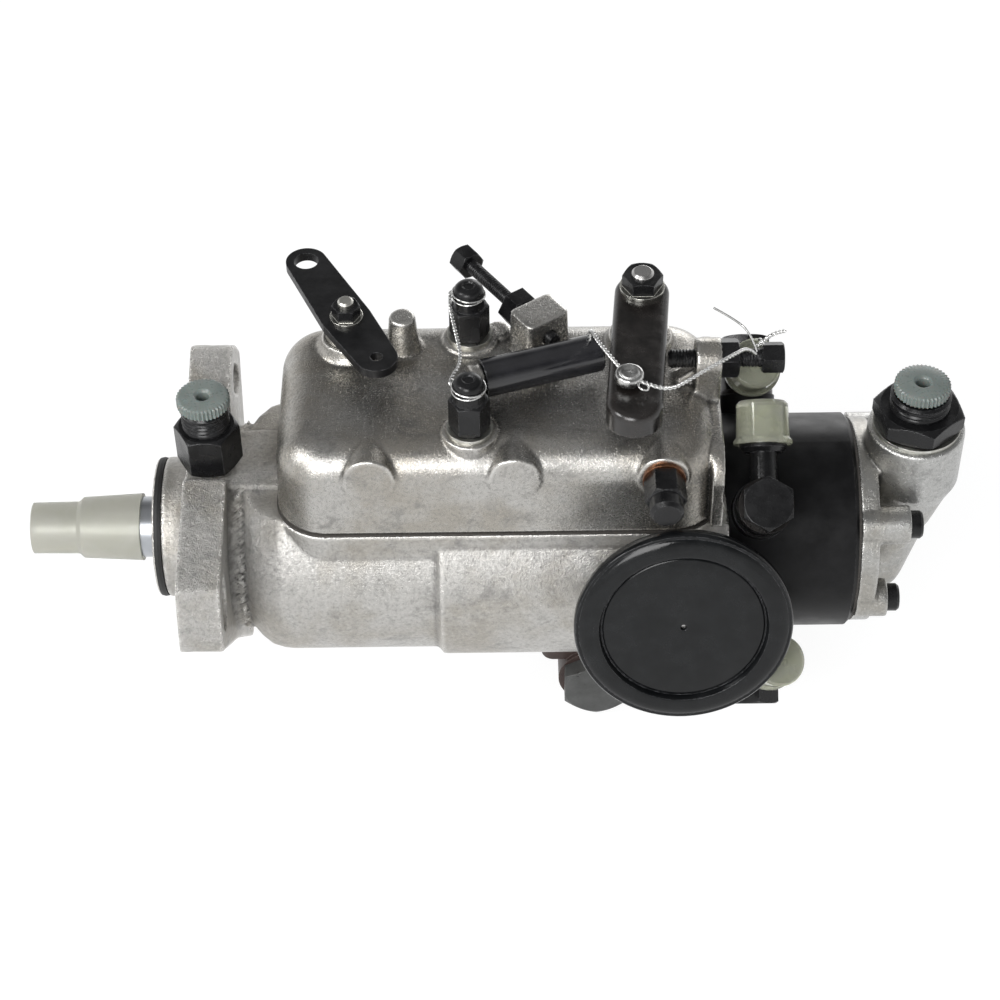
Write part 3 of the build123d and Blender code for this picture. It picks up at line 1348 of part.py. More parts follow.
with BuildPart() as rollers_and_shoes:
    for side in (-1, 1):
        shoe_line = Plane(origin=(cam_x, 0, 0), x_dir=(1, 0, 0), z_dir=(0, 0, side))
        with BuildSketch(shoe_line.offset(shoe_base)) as shoe:
            Rectangle(roller_length, 2 * shoe_half)
        extrude(shoe.sketch, amount=roller_orbit + 0.6 - shoe_base)
        roller_line = Plane(origin=(cam_x, 0, side * roller_orbit), z_dir=(1, 0, 0))
        rod(roller_line, roller_radius + running, -9, 9, mode=Mode.SUBTRACT)
    for side in (-1, 1):
        roller_line = Plane(origin=(cam_x, 0, side * roller_orbit), z_dir=(1, 0, 0))
        rod(roller_line, roller_radius, -roller_length / 2, roller_length / 2)

rollers_and_shoes.part.label = "rollers_and_shoes"
export_step(rollers_and_shoes.part, "parts/rollers_and_shoes.step")

cam_outer = head_bore_radius - running - 0.02

with BuildPart() as cam_ring:
    # ring with four inward lobes; the rollers ride over them
    with BuildSketch(Plane.YZ.offset(cam_x - cam_half)):
        Circle(cam_outer)
        Circle(cam_base, mode=Mode.SUBTRACT)
        for lobe in range(cam_lobes):
            with PolarLocations(cam_lobe + 12, 1, start_angle=45 + lobe * 360 / cam_lobes):
                Circle(12, mode=Mode.ADD)
        Circle(cam_outer, mode=Mode.INTERSECT)
    extrude(amount=2 * cam_half)
    rod(upright(advance_x, 0, 0), stem_radius + fit, -cam_outer - 1, -cam_base - 0.6, mode=Mode.SUBTRACT)

cam_ring.part.label = "cam_ring"
export_step(cam_ring.part, "parts/cam_ring.step")

with BuildPart() as transfer_liner:
    with BuildSketch(Plane.YZ.offset(liner_x + fit)):
        Circle(liner_radius)
        with Locations((0, liner_offset)):
            Circle(liner_bore, mode=Mode.SUBTRACT)
    extrude(amount=head_end - liner_x - 2 * fit)

transfer_liner.part.label = "transfer_liner"
export_step(transfer_liner.part, "parts/transfer_liner.step")

blade_slot_x = liner_x + seat

with BuildPart() as transfer_rotor:
    ring(shaft_line, transfer_radius, transfer_radius - 4 + fit, blade_slot_x, head_end - seat)
    with BuildSketch(Plane.YZ.offset(blade_slot_x)):
        for side in (-1, 1):
            with Locations((side * (transfer_radius - 1), 0)):
                Rectangle(4.4, blade_thick + 2 * running)
    extrude(amount=head_end - seat - blade_slot_x, mode=Mode.SUBTRACT)

transfer_rotor.part.label = "transfer_rotor"
export_step(transfer_rotor.part, "parts/transfer_rotor.step")

with BuildPart() as transfer_blades:
    with BuildSketch(Plane.YZ.offset(blade_slot_x + 0.1)):
        for side in (-1, 1):
            with Locations((side * (transfer_radius - 0.85), 0)):
                Rectangle(3.7, blade_thick)
    extrude(amount=head_end - seat - blade_slot_x - 0.2)

transfer_blades.part.label = "transfer_blades"
export_step(transfer_blades.part, "parts/transfer_blades.step")

with BuildPart() as metering_valve:
    lathe(upright(metering_x, 0, 0), (
        (0, metering_bottom + 1), (metering_radius, metering_bottom + 1), (metering_radius, 29.5), (2, 29.5),
        (2, metering_lever_z), (0, metering_lever_z)))
    with BuildSketch(Plane.XY.offset(metering_lever_z - 1.5)):
        with BuildSketch(mode=Mode.PRIVATE) as lever:
            with Locations((metering_x, 0)):
                Circle(3)
            with Locations((metering_x, metering_lever)):
                Circle(1.8)
        make_hull(lever.sketch.edges())
    extrude(amount=1.5)
    rod(upright(metering_x, metering_lever, 0), link_radius, metering_lever_z, link_z + 2)

metering_valve.part.label = "metering_valve"
export_step(metering_valve.part, "parts/metering_valve.step")

with BuildPart() as metering_link:
    link_line = Plane(origin=(0, link_y, link_z), z_dir=(1, 0, 0))
    rod(link_line, link_radius, arm_x - 4, metering_x - 2.4)
    ring(upright(metering_x, link_y, 0), 3.2, link_radius + loose, link_z - 0.75, link_z + 0.75)
    for x in (arm_x - 3.2, arm_x + 2.4):
        ring(link_line, arm_link_hole + 0.7, link_radius / 2, x, x + 0.8)

metering_link.part.label = "metering_link"
export_step(metering_link.part, "parts/metering_link.step")

# ------------------------------------------------------------------ advance unit
piston_line = Plane(origin=(advance_x, 0, advance_z), z_dir=(0, 1, 0))
plug_depth = 6.5

with BuildPart() as advance_housing:
    extrude(foot_outline(advance_top_z), amount=-5)
    rod(piston_line, advance_body_radius, advance_front_y, advance_back_y)
    rod(piston_line, advance_bore + running, advance_front_y - 1, advance_back_y + 1, mode=Mode.SUBTRACT)
    with BuildSketch(Plane.XY.offset(advance_top_z)):
        with Locations((advance_x, advance_travel / 2)):
            SlotOverall(stem_slot + 2 * stem_radius + 2, 2 * stem_radius + 4, rotation=90)
    extrude(amount=-8, mode=Mode.SUBTRACT)
    for ear in advance_ears:
        rod(
            upright(advance_x + ear[0], ear[1], 0), 3 + fit, advance_top_z - 6, advance_top_z + 1,
            mode=Mode.SUBTRACT)

advance_housing.part.label = "advance_housing"
export_step(advance_housing.part, "parts/advance_housing.step")

with BuildPart() as advance_plugs:
    front_place = Plane(origin=(advance_x, advance_front_y, advance_z), z_dir=(0, -1, 0))
    back_place = Plane(origin=(advance_x, advance_back_y, advance_z), z_dir=(0, 1, 0))
    for place in (front_place, back_place):
        hexagon(place, 21.6, 0, 6)
        rod(place, advance_bore, -plug_depth, 0)

advance_plugs.part.label = "advance_plugs"
export_step(advance_plugs.part, "parts/advance_plugs.step")

with BuildPart() as advance_piston:
    rod(piston_line, advance_bore, piston_front_y, piston_back_y)
    rod(upright(advance_x, 0, advance_z), ball_radius + 0.15, -5, 12, mode=Mode.SUBTRACT)
    rod(piston_line, 5, piston_back_y - 3, piston_back_y + 1, mode=Mode.SUBTRACT)

advance_piston.part.label = "advance_piston"
export_step(advance_piston.part, "parts/advance_piston.step")

with BuildPart() as cam_screw:
    Sphere(ball_radius)
    rod(upright(0, 0, 0), stem_radius, 0, -advance_z - cam_base - 1)
cam_screw.part = cam_screw.part.moved(Location((advance_x, 0, advance_z)))
cam_screw.part.label = "cam_screw"
export_step(cam_screw.part, "parts/cam_screw.step")

with BuildPart() as advance_fastenings:
    # a capped nut in front, and the longer fitting that also feeds the advance unit
    for ear, reach in zip(advance_ears, (8.0, 12.0)):
        hexagon(
            Plane(origin=(advance_x + ear[0], ear[1], advance_top_z - 5), z_dir=(0, 0, -1)), hex_small, 0,
            reach)
        rod(upright(advance_x + ear[0], ear[1], 0), 3, advance_top_z - 5, advance_top_z + 8)

advance_fastenings.part.label = "advance_fastenings"
export_step(advance_fastenings.part, "parts/advance_fastenings.step")

# ------------------------------------------------------------------ pressure capsule
rim_back = capsule_face - 5.2
sheet = 1.2

with BuildPart() as capsule_base:
    # pressed cup that screws on the boss and widens to the rim
    lathe(capsule_line, (
        (5, capsule_neck_top - 4), (9.5, capsule_neck_top - 4), (9.5, capsule_neck_top + 1),
        (17, capsule_neck_top + 2),
        (29, rim_back - 1.4), (capsule_radius - 1.3, rim_back), (capsule_radius - 1.3, rim_back + sheet),
        (29, rim_back + sheet), (17, capsule_neck_top + 2 + 1.6), (5, capsule_neck_top + 2)))

capsule_base.part.label = "capsule_base"
export_step(capsule_base.part, "parts/capsule_base.step")

with BuildPart() as capsule_diaphragm:
    # thin plate clamped at the rim, with its stem
    lathe(capsule_line, (
        (0, rim_back + 1.9), (20, rim_back + 1.9), (23, rim_back + 1.3),
        (capsule_radius - 1.4, rim_back + 1.3),
        (capsule_radius - 1.4, rim_back + 1.7), (23.2, rim_back + 1.7), (20.2, rim_back + 2.3),
        (0, rim_back + 2.3)))

capsule_diaphragm.part.label = "capsule_diaphragm"
export_step(capsule_diaphragm.part, "parts/capsule_diaphragm.step")

with BuildPart() as capsule_cover:
    # pressed lid: raised ring, recessed centre with a vent hole, rolled edge
    lathe(capsule_line, (
        (0.8, capsule_face - 1.6), (capsule_recess, capsule_face - 1.6), (capsule_recess + 0.9, capsule_face),
        (capsule_radius - 1.8, capsule_face - 0.7), (capsule_radius, capsule_face - 2.4),
        (capsule_radius, rim_back - 0.6),
        (capsule_radius - 1.2, rim_back - 0.6), (capsule_radius - 1.2, rim_back + 1.8),
        (capsule_recess + 0.9, rim_back + 1.8 + 0.4),
        (capsule_recess, capsule_face - 1.6 - sheet), (0.8, capsule_face - 1.6 - sheet)))

capsule_cover.part.label = "capsule_cover"
export_step(capsule_cover.part, "parts/capsule_cover.step")
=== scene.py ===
import json
import math

import bmesh
import bpy
from mathutils import Matrix, Vector, noise

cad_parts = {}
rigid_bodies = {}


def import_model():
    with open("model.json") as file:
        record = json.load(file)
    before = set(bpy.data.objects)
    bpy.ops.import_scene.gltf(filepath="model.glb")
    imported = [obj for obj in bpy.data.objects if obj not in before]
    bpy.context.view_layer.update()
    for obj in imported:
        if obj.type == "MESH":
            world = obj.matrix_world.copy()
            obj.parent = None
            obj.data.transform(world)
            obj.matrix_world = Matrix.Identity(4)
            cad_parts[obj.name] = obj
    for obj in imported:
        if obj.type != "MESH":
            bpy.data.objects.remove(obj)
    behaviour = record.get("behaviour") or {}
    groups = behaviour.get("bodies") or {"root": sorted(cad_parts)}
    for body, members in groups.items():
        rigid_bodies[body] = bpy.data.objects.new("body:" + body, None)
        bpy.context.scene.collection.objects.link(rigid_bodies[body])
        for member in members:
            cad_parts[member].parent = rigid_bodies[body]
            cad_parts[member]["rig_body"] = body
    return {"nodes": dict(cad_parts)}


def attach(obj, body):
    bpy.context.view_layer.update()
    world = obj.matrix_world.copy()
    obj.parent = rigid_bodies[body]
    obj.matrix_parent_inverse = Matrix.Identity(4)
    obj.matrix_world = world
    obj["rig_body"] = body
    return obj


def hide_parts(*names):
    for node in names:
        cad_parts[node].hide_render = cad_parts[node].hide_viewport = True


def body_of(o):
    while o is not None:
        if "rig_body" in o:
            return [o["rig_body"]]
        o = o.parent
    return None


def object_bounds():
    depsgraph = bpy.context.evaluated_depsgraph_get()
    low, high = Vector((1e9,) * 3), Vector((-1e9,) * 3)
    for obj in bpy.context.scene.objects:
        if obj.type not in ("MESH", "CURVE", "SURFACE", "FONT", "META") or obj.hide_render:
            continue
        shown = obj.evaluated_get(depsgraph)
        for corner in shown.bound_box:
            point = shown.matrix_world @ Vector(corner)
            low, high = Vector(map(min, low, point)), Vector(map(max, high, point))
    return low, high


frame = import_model()
cad_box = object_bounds()
bpy.context.scene.view_settings.view_transform = "Standard"

# Sizes and places are millimetres in the pump's own frame, unless a name or a comment says metres.
# +X runs along the drive shaft to the fuel inlet, +Z is square to the cover, -Y is the capsule's side.
MM = 0.001
TURN = 2 * math.pi
UP = (0, 0, 1)
ALONG_X = (1, 0, 0)


# ---------------------------------------------------------------- camera, light and floor
TARGET = Vector((105.0, 5.2, 5.2)) * MM
ELEVATION = math.radians(45.0)
ROLL = math.radians(0.7)
DISTANCE_M = 0.792
LENS = 86.4
SENSOR = 36.0
FAR_M = 20.0

# name, place in metres, side of the square in metres, power in watts
LAMPS = (
    ("key", (-0.25, -1.0, 0.7), 0.6, 11.0),
    ("side", (-0.8, -0.35, 0.75), 0.35, 5.5),
    ("back", (0.45, 1.0, 0.3), 0.5, 2.5),
)
SKY_COLOR = (0.96, 0.98, 1.0, 1)
SKY_STRENGTH = 0.36
# what reflections see: height of the direction's tip, and how bright the studio is there
CEILING = ((0.15, 0.95), (0.42, 0.42), (0.66, 0.10), (0.92, 0.32))
WHITE = (1, 1, 1, 1)

FLOOR_HALF_M = 2.5
FLOOR_GAP_M = 0.0005
FLOOR_COLOR = (0.9, 0.9, 0.9, 1)
FLOOR_GLOW = 1.12
FLOOR_SHARE = 0.8
DIRECT_RAYS = ("Is Camera Ray", "Is Glossy Ray", "Is Transmission Ray")

# sockets of the Mix node when it mixes colours
MIX_SHARE, MIX_FIRST, MIX_SECOND, MIX_RESULT = 0, 6, 7, 2


def add_camera():
    """Camera at the photograph's angle: square to the shaft, above the capsule's side."""
    data = bpy.data.cameras.new("camera")
    data.lens = LENS
    data.sensor_width = SENSOR
    data.clip_end = FAR_M
    camera = bpy.data.objects.new("camera", data)
    bpy.context.scene.collection.objects.link(camera)
    back = Vector((0, -math.cos(ELEVATION), math.sin(ELEVATION)))
    facing = (-back).to_track_quat("-Z", "Y").to_matrix().to_4x4()
    place = Matrix.Translation(TARGET + back * DISTANCE_M)
    camera.matrix_world = place @ facing @ Matrix.Rotation(-ROLL, 4, "Z")
    bpy.context.scene.camera = camera


def add_lamp(name, place, size, power):
    """One soft square studio lamp that faces the pump."""
    data = bpy.data.lights.new(name, "AREA")
    data.shape = "SQUARE"
    data.size = size
    data.energy = power
    lamp = bpy.data.objects.new(name, data)
    bpy.context.scene.collection.objects.link(lamp)
    lamp.location = place
    lamp.rotation_euler = (TARGET - Vector(place)).to_track_quat("-Z", "Y").to_euler()


def ray_kinds(tree, *kinds):
    """1 for a ray of any of these kinds."""
    path = tree.nodes.new("ShaderNodeLightPath")
    total = path.outputs[kinds[0]]
    for kind in kinds[1:]:
        highest = tree.nodes.new("ShaderNodeMath")
        highest.operation = "MAXIMUM"
        tree.links.new(total, highest.inputs[0])
        tree.links.new(path.outputs[kind], highest.inputs[1])
        total = highest.outputs[0]
    return total


def add_world():
    """Even grey light. The camera sees white, and reflections see a white horizon and a dimmer ceiling."""
    world = bpy.data.worlds.new("studio")
    bpy.context.scene.world = world
    world.use_nodes = True
    tree = world.node_tree
    tree.nodes.clear()
    out = tree.nodes.new("ShaderNodeOutputWorld")
    mix = tree.nodes.new("ShaderNodeMixShader")
    light = tree.nodes.new("ShaderNodeBackground")
    light.inputs["Color"].default_value = SKY_COLOR
    light.inputs["Strength"].default_value = SKY_STRENGTH
    seen = tree.nodes.new("ShaderNodeBackground")
    seen.inputs["Strength"].default_value = 1.0
    way = tree.nodes.new("ShaderNodeTexCoord")
    split = tree.nodes.new("ShaderNodeSeparateXYZ")
    ceiling = tree.nodes.new("ShaderNodeValToRGB")
    line = ceiling.color_ramp
    line.elements.remove(line.elements[-1])
    for position, shade in CEILING:
        element = line.elements[0] if position == CEILING[0][0] else line.elements.new(position)
        element.position = position
        element.color = (shade, shade, shade, 1)
    direct = tree.nodes.new("ShaderNodeMix")
    direct.data_type = "RGBA"
    direct.inputs[MIX_SECOND].default_value = WHITE
    tree.links.new(way.outputs["Generated"], split.inputs[0])
    tree.links.new(split.outputs["Z"], ceiling.inputs[0])
    tree.links.new(ray_kinds(tree, "Is Camera Ray"), direct.inputs[MIX_SHARE])
    tree.links.new(ceiling.outputs[0], direct.inputs[MIX_FIRST])
    tree.links.new(direct.outputs[MIX_RESULT], seen.inputs["Color"])
    tree.links.new(ray_kinds(tree, *DIRECT_RAYS), mix.inputs[0])
    tree.links.new(light.outputs[0], mix.inputs[1])
    tree.links.new(seen.outputs[0], mix.inputs[2])
    tree.links.new(mix.outputs[0], out.inputs[0])


def add_floor():
    """Plain white floor under the pump's lowest point, which keeps the pump's shadow."""
    half = FLOOR_HALF_M
    low = cad_box[0][2] - FLOOR_GAP_M
    corners = [(-half, -half, low), (half, -half, low), (half, half, low), (-half, half, low)]
    mesh = bpy.data.meshes.new("floor")
    mesh.from_pydata(corners, [], [(0, 1, 2, 3)])
    floor = bpy.data.objects.new("floor", mesh)
    bpy.context.scene.collection.objects.link(floor)
    material = bpy.data.materials.new("floor")
    material.use_nodes = True
    tree = material.node_tree
    tree.nodes.clear()
    out = tree.nodes.new("ShaderNodeOutputMaterial")
    paint = tree.nodes.new("ShaderNodeBsdfDiffuse")
    paint.inputs["Color"].default_value = FLOOR_COLOR
    glow = tree.nodes.new("ShaderNodeEmission")
    glow.inputs["Color"].default_value = WHITE
    glow.inputs["Strength"].default_value = FLOOR_GLOW
    mix = tree.nodes.new("ShaderNodeMixShader")
    share = tree.nodes.new("ShaderNodeMath")
    share.operation = "MULTIPLY"
    share.inputs[1].default_value = FLOOR_SHARE
    tree.links.new(ray_kinds(tree, *DIRECT_RAYS), share.inputs[0])
    tree.links.new(share.outputs[0], mix.inputs[0])
    tree.links.new(paint.outputs[0], mix.inputs[1])
    tree.links.new(glow.outputs[0], mix.inputs[2])
    tree.links.new(mix.outputs[0], out.inputs[0])
    mesh.materials.append(material)


add_camera()
add_world()
add_floor()
for lamp_values in LAMPS:
    add_lamp(*lamp_values)


# ---------------------------------------------------------------- materials
BEVEL_SAMPLES = 6
EDGE_GAIN = 10.0
RING_WIDTH = 0.35
RING_DEPTH = 0.008
RING_LENGTHWISE = 40.0


def scaled(color, factor):
    """A colour made darker or lighter, up to white."""
    return tuple(min(1.0, factor * c) for c in color)


class Shader:
    """A principled material with short names for the nodes that feed it."""

    def __init__(self, name, color, rough, metal=0.0, **sockets):
        self.material = bpy.data.materials.new(name)
        self.material.use_nodes = True
        self.tree = self.material.node_tree
        self.base = self.tree.nodes["Principled BSDF"]
        self.set("Base Color", color)
        self.set("Roughness", rough)
        self.set("Metallic", metal)
        for key, value in sockets.items():
            self.set(key.replace("_", " "), value)
        self.place = self.tree.nodes.new("ShaderNodeTexCoord").outputs["Object"]

    def feed(self, socket, value):
        """Gives one socket a number, a colour or another node's output."""
        if isinstance(value, bpy.types.NodeSocket):
            self.tree.links.new(value, socket)
        elif isinstance(value, tuple) and socket.type == "RGBA":
            socket.default_value = (*value, 1)
        else:
            socket.default_value = value

    def set(self, key, value):
        """Feeds one of the shader's own sockets."""
        self.feed(self.base.inputs[key], value)

    def node(self, kind, *inputs, **settings):
        """A node whose first inputs are these numbers, colours or outputs."""
        made = self.tree.nodes.new("ShaderNode" + kind)
        for key, value in settings.items():
            setattr(made, key, value)
        for socket, value in zip(made.inputs, inputs):
            if value is not None:
                self.feed(socket, value)
        return made

    def math(self, operation, a, b=0.0, clamp=False):
        """One sum."""
        return self.node("Math", a, b, operation=operation, use_clamp=clamp).outputs[0]

    def times(self, a, b):
        """A product."""
        return self.math("MULTIPLY", a, b)

    def plus(self, a, b):
        """A total."""
        return self.math("ADD", a, b)

    def axis(self, letter):
        """One coordinate of the surface, in millimetres."""
        parts = self.node("SeparateXYZ", self.place)
        return self.times(parts.outputs[letter], 1 / MM)

    def window(self, value, low, high, soft):
        """1 where a value lies between two others, with soft ends."""
        rise = self.math("DIVIDE", self.math("SUBTRACT", value, low - soft), soft, clamp=True)
        fall = self.math("DIVIDE", self.math("SUBTRACT", high + soft, value), soft, clamp=True)
        return self.times(rise, fall)

    def stretched(self, scale):
        """Object coordinates, scaled along each axis."""
        return self.node("Mapping", self.place, None, None, scale).outputs[0]

    def noise(self, size_mm, detail=3.0, rough=0.55, place=None, lumps=0.0):
        """Smooth noise with lumps of about this size."""
        made = self.node("TexNoise", place or self.place)
        made.inputs["Scale"].default_value = 1 / MM / size_mm
        made.inputs["Detail"].default_value = detail
        made.inputs["Roughness"].default_value = rough
        made.inputs["Distortion"].default_value = lumps
        return made.outputs[0]

    def ramp(self, value, *stops):
        """Colours or numbers along a value: (position, colour or number) pairs."""
        made = self.node("ValToRGB", value)
        line = made.color_ramp
        for element, (position, shade) in zip(line.elements, stops):
            element.position = position
            element.color = (*shade, 1) if isinstance(shade, tuple) else (shade, shade, shade, 1)
        return made.outputs[0]

    def mix(self, share, a, b):
        """One colour laid over another."""
        made = self.tree.nodes.new("ShaderNodeMix")
        made.data_type = "RGBA"
        for index, value in ((MIX_SHARE, share), (MIX_FIRST, a), (MIX_SECOND, b)):
            self.feed(made.inputs[index], value)
        return made.outputs[MIX_RESULT]

    def bump(self, height, depth_mm, strength=1.0, normal=None):
        """Raises the surface by a height map of this depth."""
        made = self.tree.nodes.new("ShaderNodeBump")
        made.inputs["Strength"].default_value = strength
        made.inputs["Distance"].default_value = depth_mm * MM
        self.tree.links.new(height, made.inputs["Height"])
        if normal is not None:
            self.tree.links.new(normal, made.inputs["Normal"])
        return made.outputs[0]

    def soft_edge(self, radius_mm):
        """Normal of a surface whose edges are rounded by this radius."""
        made = self.tree.nodes.new("ShaderNodeBevel")
        made.samples = BEVEL_SAMPLES
        made.inputs["Radius"].default_value = radius_mm * MM
        return made.outputs[0]

    def edges(self, normal):
        """1 along the edges, 0 elsewhere, from a rounded normal."""
        flat = self.node("NewGeometry").outputs["Normal"]
        dot = self.node("VectorMath", normal, flat, operation="DOT_PRODUCT").outputs["Value"]
        away = self.math("SUBTRACT", 1.0, dot, clamp=True)
        return self.math("MULTIPLY", away, EDGE_GAIN, clamp=True)

    def convex(self, low, high):
        """0 on flat ground and 1 on a mesh's outer edges, or on its hollows where high is below low."""
        sharp = self.node("NewGeometry").outputs["Pointiness"]
        return self.math("DIVIDE", self.math("SUBTRACT", sharp, low), high - low, clamp=True)


def cast_metal(name, color, rough, metal, grain_mm, depth_mm, wear=0.8, glint=0.45, rough_zone=None):
    """Cast light alloy: fine grain, faint stains, painted shade in the hollows, edges lightened by rubbing
    wear and by a painted highlight, and scratches.
    """
    s = Shader(name, color, rough, metal)
    dark = scaled(color, 0.52)
    warm = tuple(factor * c for factor, c in zip((0.80, 0.77, 0.72), color))
    light = scaled(color, 1.5)
    patches = s.noise(30.0, 6.0, 0.62, lumps=0.4)
    stains = s.noise(11.0, 7.0, 0.7, lumps=0.8)
    grain = s.noise(grain_mm, 3.0, 0.65)
    speck = s.noise(grain_mm * 2.0, 5.0, 0.75)
    tone = s.mix(s.ramp(patches, (0.40, 1.0), (0.58, 0.0)), color, warm)
    tone = s.mix(s.ramp(stains, (0.33, 0.75), (0.46, 0.0)), tone, dark)
    tone = s.mix(s.ramp(speck, (0.34, 0.6), (0.50, 0.0)), tone, dark)
    tone = s.mix(s.ramp(speck, (0.55, 0.0), (0.72, glint)), tone, light)
    # painted shade: hollows found by the mesh's pointiness are darkened towards a fifth of the colour
    hollow = s.convex(0.496, 0.462)
    tone = s.mix(s.times(hollow, 0.85), tone, scaled(color, 0.18))
    # rubbed edges: real wear, and also a painted highlight along the outer edges, in the lighter colour
    rubbed = s.times(s.convex(0.506, 0.545), s.ramp(stains, (0.34, 0.3), (0.55, wear)))
    tone = s.mix(rubbed, tone, light)
    s.set("Base Color", tone)
    shine = s.ramp(speck, (0.3, rough + 0.12), (0.7, rough - 0.04))
    s.set("Roughness", s.math("SUBTRACT", shine, s.times(rubbed, 0.14)))
    scratch = s.noise(0.5, 2.0, 0.5, s.stretched((0.05, 1.0, 1.0)))
    nick = s.noise(0.9, 2.0, 0.5, s.stretched((0.6, 0.12, 0.3)), 2.0)
    height = s.plus(s.times(grain, 0.6), s.times(speck, 0.7))
    height = s.plus(height, s.times(scratch, 0.25))
    height = s.plus(height, s.times(s.ramp(nick, (0.60, 0.0), (0.66, 1.0)), -0.3))
    height = s.plus(height, s.times(patches, 3.0))
    if rough_zone is not None:
        letter, low, high, soft, extra = rough_zone
        coarse = s.noise(1.7, 6.0, 0.8, lumps=1.2)
        zone = s.window(s.axis(letter), low, high, soft)
        height = s.plus(height, s.times(s.times(coarse, zone), extra))
    s.set("Normal", s.bump(height, depth_mm))
    return s.material


def turned_metal(name, color, rough, axis, rings=1.0):
    """Lathe-turned steel: fine rings square to its axis (0 for X, 1 for Y, 2 for Z)."""
    s = Shader(name, color, rough, 1.0)
    thin = [RING_LENGTHWISE] * 3
    thin[axis] = 1 / MM / RING_WIDTH
    lines = s.node("TexNoise", s.stretched(tuple(thin)))
    lines.inputs["Scale"].default_value = 1.0
    lines.inputs["Detail"].default_value = 2.0
    cloud = s.noise(9.0, 3.0)
    ring = lines.outputs[0]
    s.set("Base Color", s.mix(s.ramp(cloud, (0.35, 0.75), (0.7, 0.0)), color, scaled(color, 0.72)))
    s.set("Roughness", s.ramp(ring, (0.3, rough + 0.05 * rings), (0.7, rough - 0.04 * rings)))
    s.set("Normal", s.bump(ring, RING_DEPTH * rings, 0.5, s.soft_edge(0.4)))
    return s.material


def black_finish(name, color, rough, worn=(0.16, 0.16, 0.165), edge_mm=0.5, grain_mm=1.4, depth_mm=0.02,
                 wear=0.5, sheen=None, shine=0.3, zinc_bands=()):
    """Satin black oxide or paint: soft mottling, slightly rubbed edges, and bare zinc at these heights."""
    s = Shader(name, color, rough, 0.0, Specular_IOR_Level=shine)
    round_normal = s.soft_edge(edge_mm)
    mottle = s.noise(7.0, 5.0, 0.6)
    grain = s.noise(grain_mm, 3.0, 0.6)
    light = sheen or tuple(c * 1.9 + 0.004 for c in color)
    tone = s.mix(s.ramp(mottle, (0.35, 0.0), (0.75, 0.8)), color, light)
    rubbed = s.times(s.edges(round_normal), s.ramp(grain, (0.42, 0.0), (0.6, wear)))
    tone = s.mix(rubbed, tone, worn)
    plated = 0.0
    for low, high in zinc_bands:
        plated = s.math("MAXIMUM", plated, s.window(s.axis("Z"), low, high, 0.05))
    if zinc_bands:
        tone = s.mix(plated, tone, (0.66, 0.65, 0.6))
        s.set("Metallic", plated)
    s.set("Base Color", tone)
    s.set("Roughness", s.ramp(mottle, (0.3, rough - 0.07), (0.7, rough + 0.1)))
    s.set("Normal", s.bump(grain, depth_mm * 3, 0.7, round_normal))
    return s.material


def moulded_plastic(name, color, rough, through, deep, soft=0.0):
    """Milky moulded plastic that lets light through, with faint flow marks."""
    s = Shader(
        name, color, rough, 0.0,
        Subsurface_Weight=soft, Subsurface_Scale=0.003, Transmission_Weight=through, IOR=1.45)
    cloud = s.noise(9.0, 3.0, lumps=0.8)
    fine = s.noise(1.2, 2.0)
    s.set("Base Color", s.mix(s.ramp(cloud, (0.3, 0.6), (0.7, 0.0)), color, deep))
    s.set("Roughness", s.ramp(fine, (0.3, rough - 0.02), (0.7, rough + 0.04)))
    s.set("Normal", s.bump(fine, 0.006, 0.5, s.soft_edge(0.3)))
    return s.material


def soft_metal(name, color, rough, dark, lump_mm, depth_mm):
    """Lead or wire: dull patches and small dents."""
    s = Shader(name, color, rough, 1.0)
    cloud = s.noise(lump_mm * 2.5, 4.0)
    dents = s.noise(lump_mm, 2.0)
    s.set("Base Color", s.mix(s.ramp(cloud, (0.3, 0.8), (0.65, 0.0)), color, scaled(color, dark)))
    s.set("Roughness", s.ramp(dents, (0.3, rough + 0.12), (0.7, rough - 0.05)))
    s.set("Normal", s.bump(dents, depth_mm * 3, 0.6, s.soft_edge(0.3)))
    return s.material


def washer_metal(name):
    """Flat washers: rusty copper at the vent screw, black round the head's outlets, bright zinc elsewhere."""
    s = Shader(name, (0.6, 0.6, 0.57), 0.3, 1.0)
    spots = s.noise(1.6, 4.0)
    zinc = s.mix(s.ramp(spots, (0.35, 0.7), (0.65, 0.0)), (0.66, 0.66, 0.62), (0.42, 0.41, 0.36))
    rust = s.mix(s.ramp(spots, (0.35, 0.8), (0.65, 0.0)), (0.36, 0.17, 0.09), (0.10, 0.05, 0.035))
    at_vent = s.times(s.window(s.axis("X"), 140, 168, 1), s.window(s.axis("Y"), -60, -33, 0.5))
    at_head = s.window(s.axis("X"), 176, 205, 1)
    tone = s.mix(at_head, s.mix(at_vent, zinc, rust), (0.03, 0.028, 0.027))
    s.set("Base Color", tone)
    s.set("Roughness", s.ramp(spots, (0.3, 0.42), (0.7, 0.24)))
    s.set("Normal", s.bump(spots, 0.05, 0.6, s.soft_edge(0.3)))
    return s.material


def rubber_like(name, color, rough):
    """Matt rubber or paper with a fine grain."""
    s = Shader(name, color, rough)
    grain = s.noise(0.7, 3.0)
    s.set("Base Color", s.ramp(grain, (0.3, scaled(color, 0.7)), (0.7, scaled(color, 1.3))))
    s.set("Normal", s.bump(grain, 0.06, 0.6))
    return s.material


# heights of the zinc washers under the stop lever's nut and the throttle lever's nut
NUT_ZINC = ((73.1, 74.3), (83.7, 85.1))
# where the housing's skin is coarser: axis, from, to, width of the soft ends, and how much deeper
FLANGE_ROUGHNESS = ("X", 2, 34, 3, 2.8)

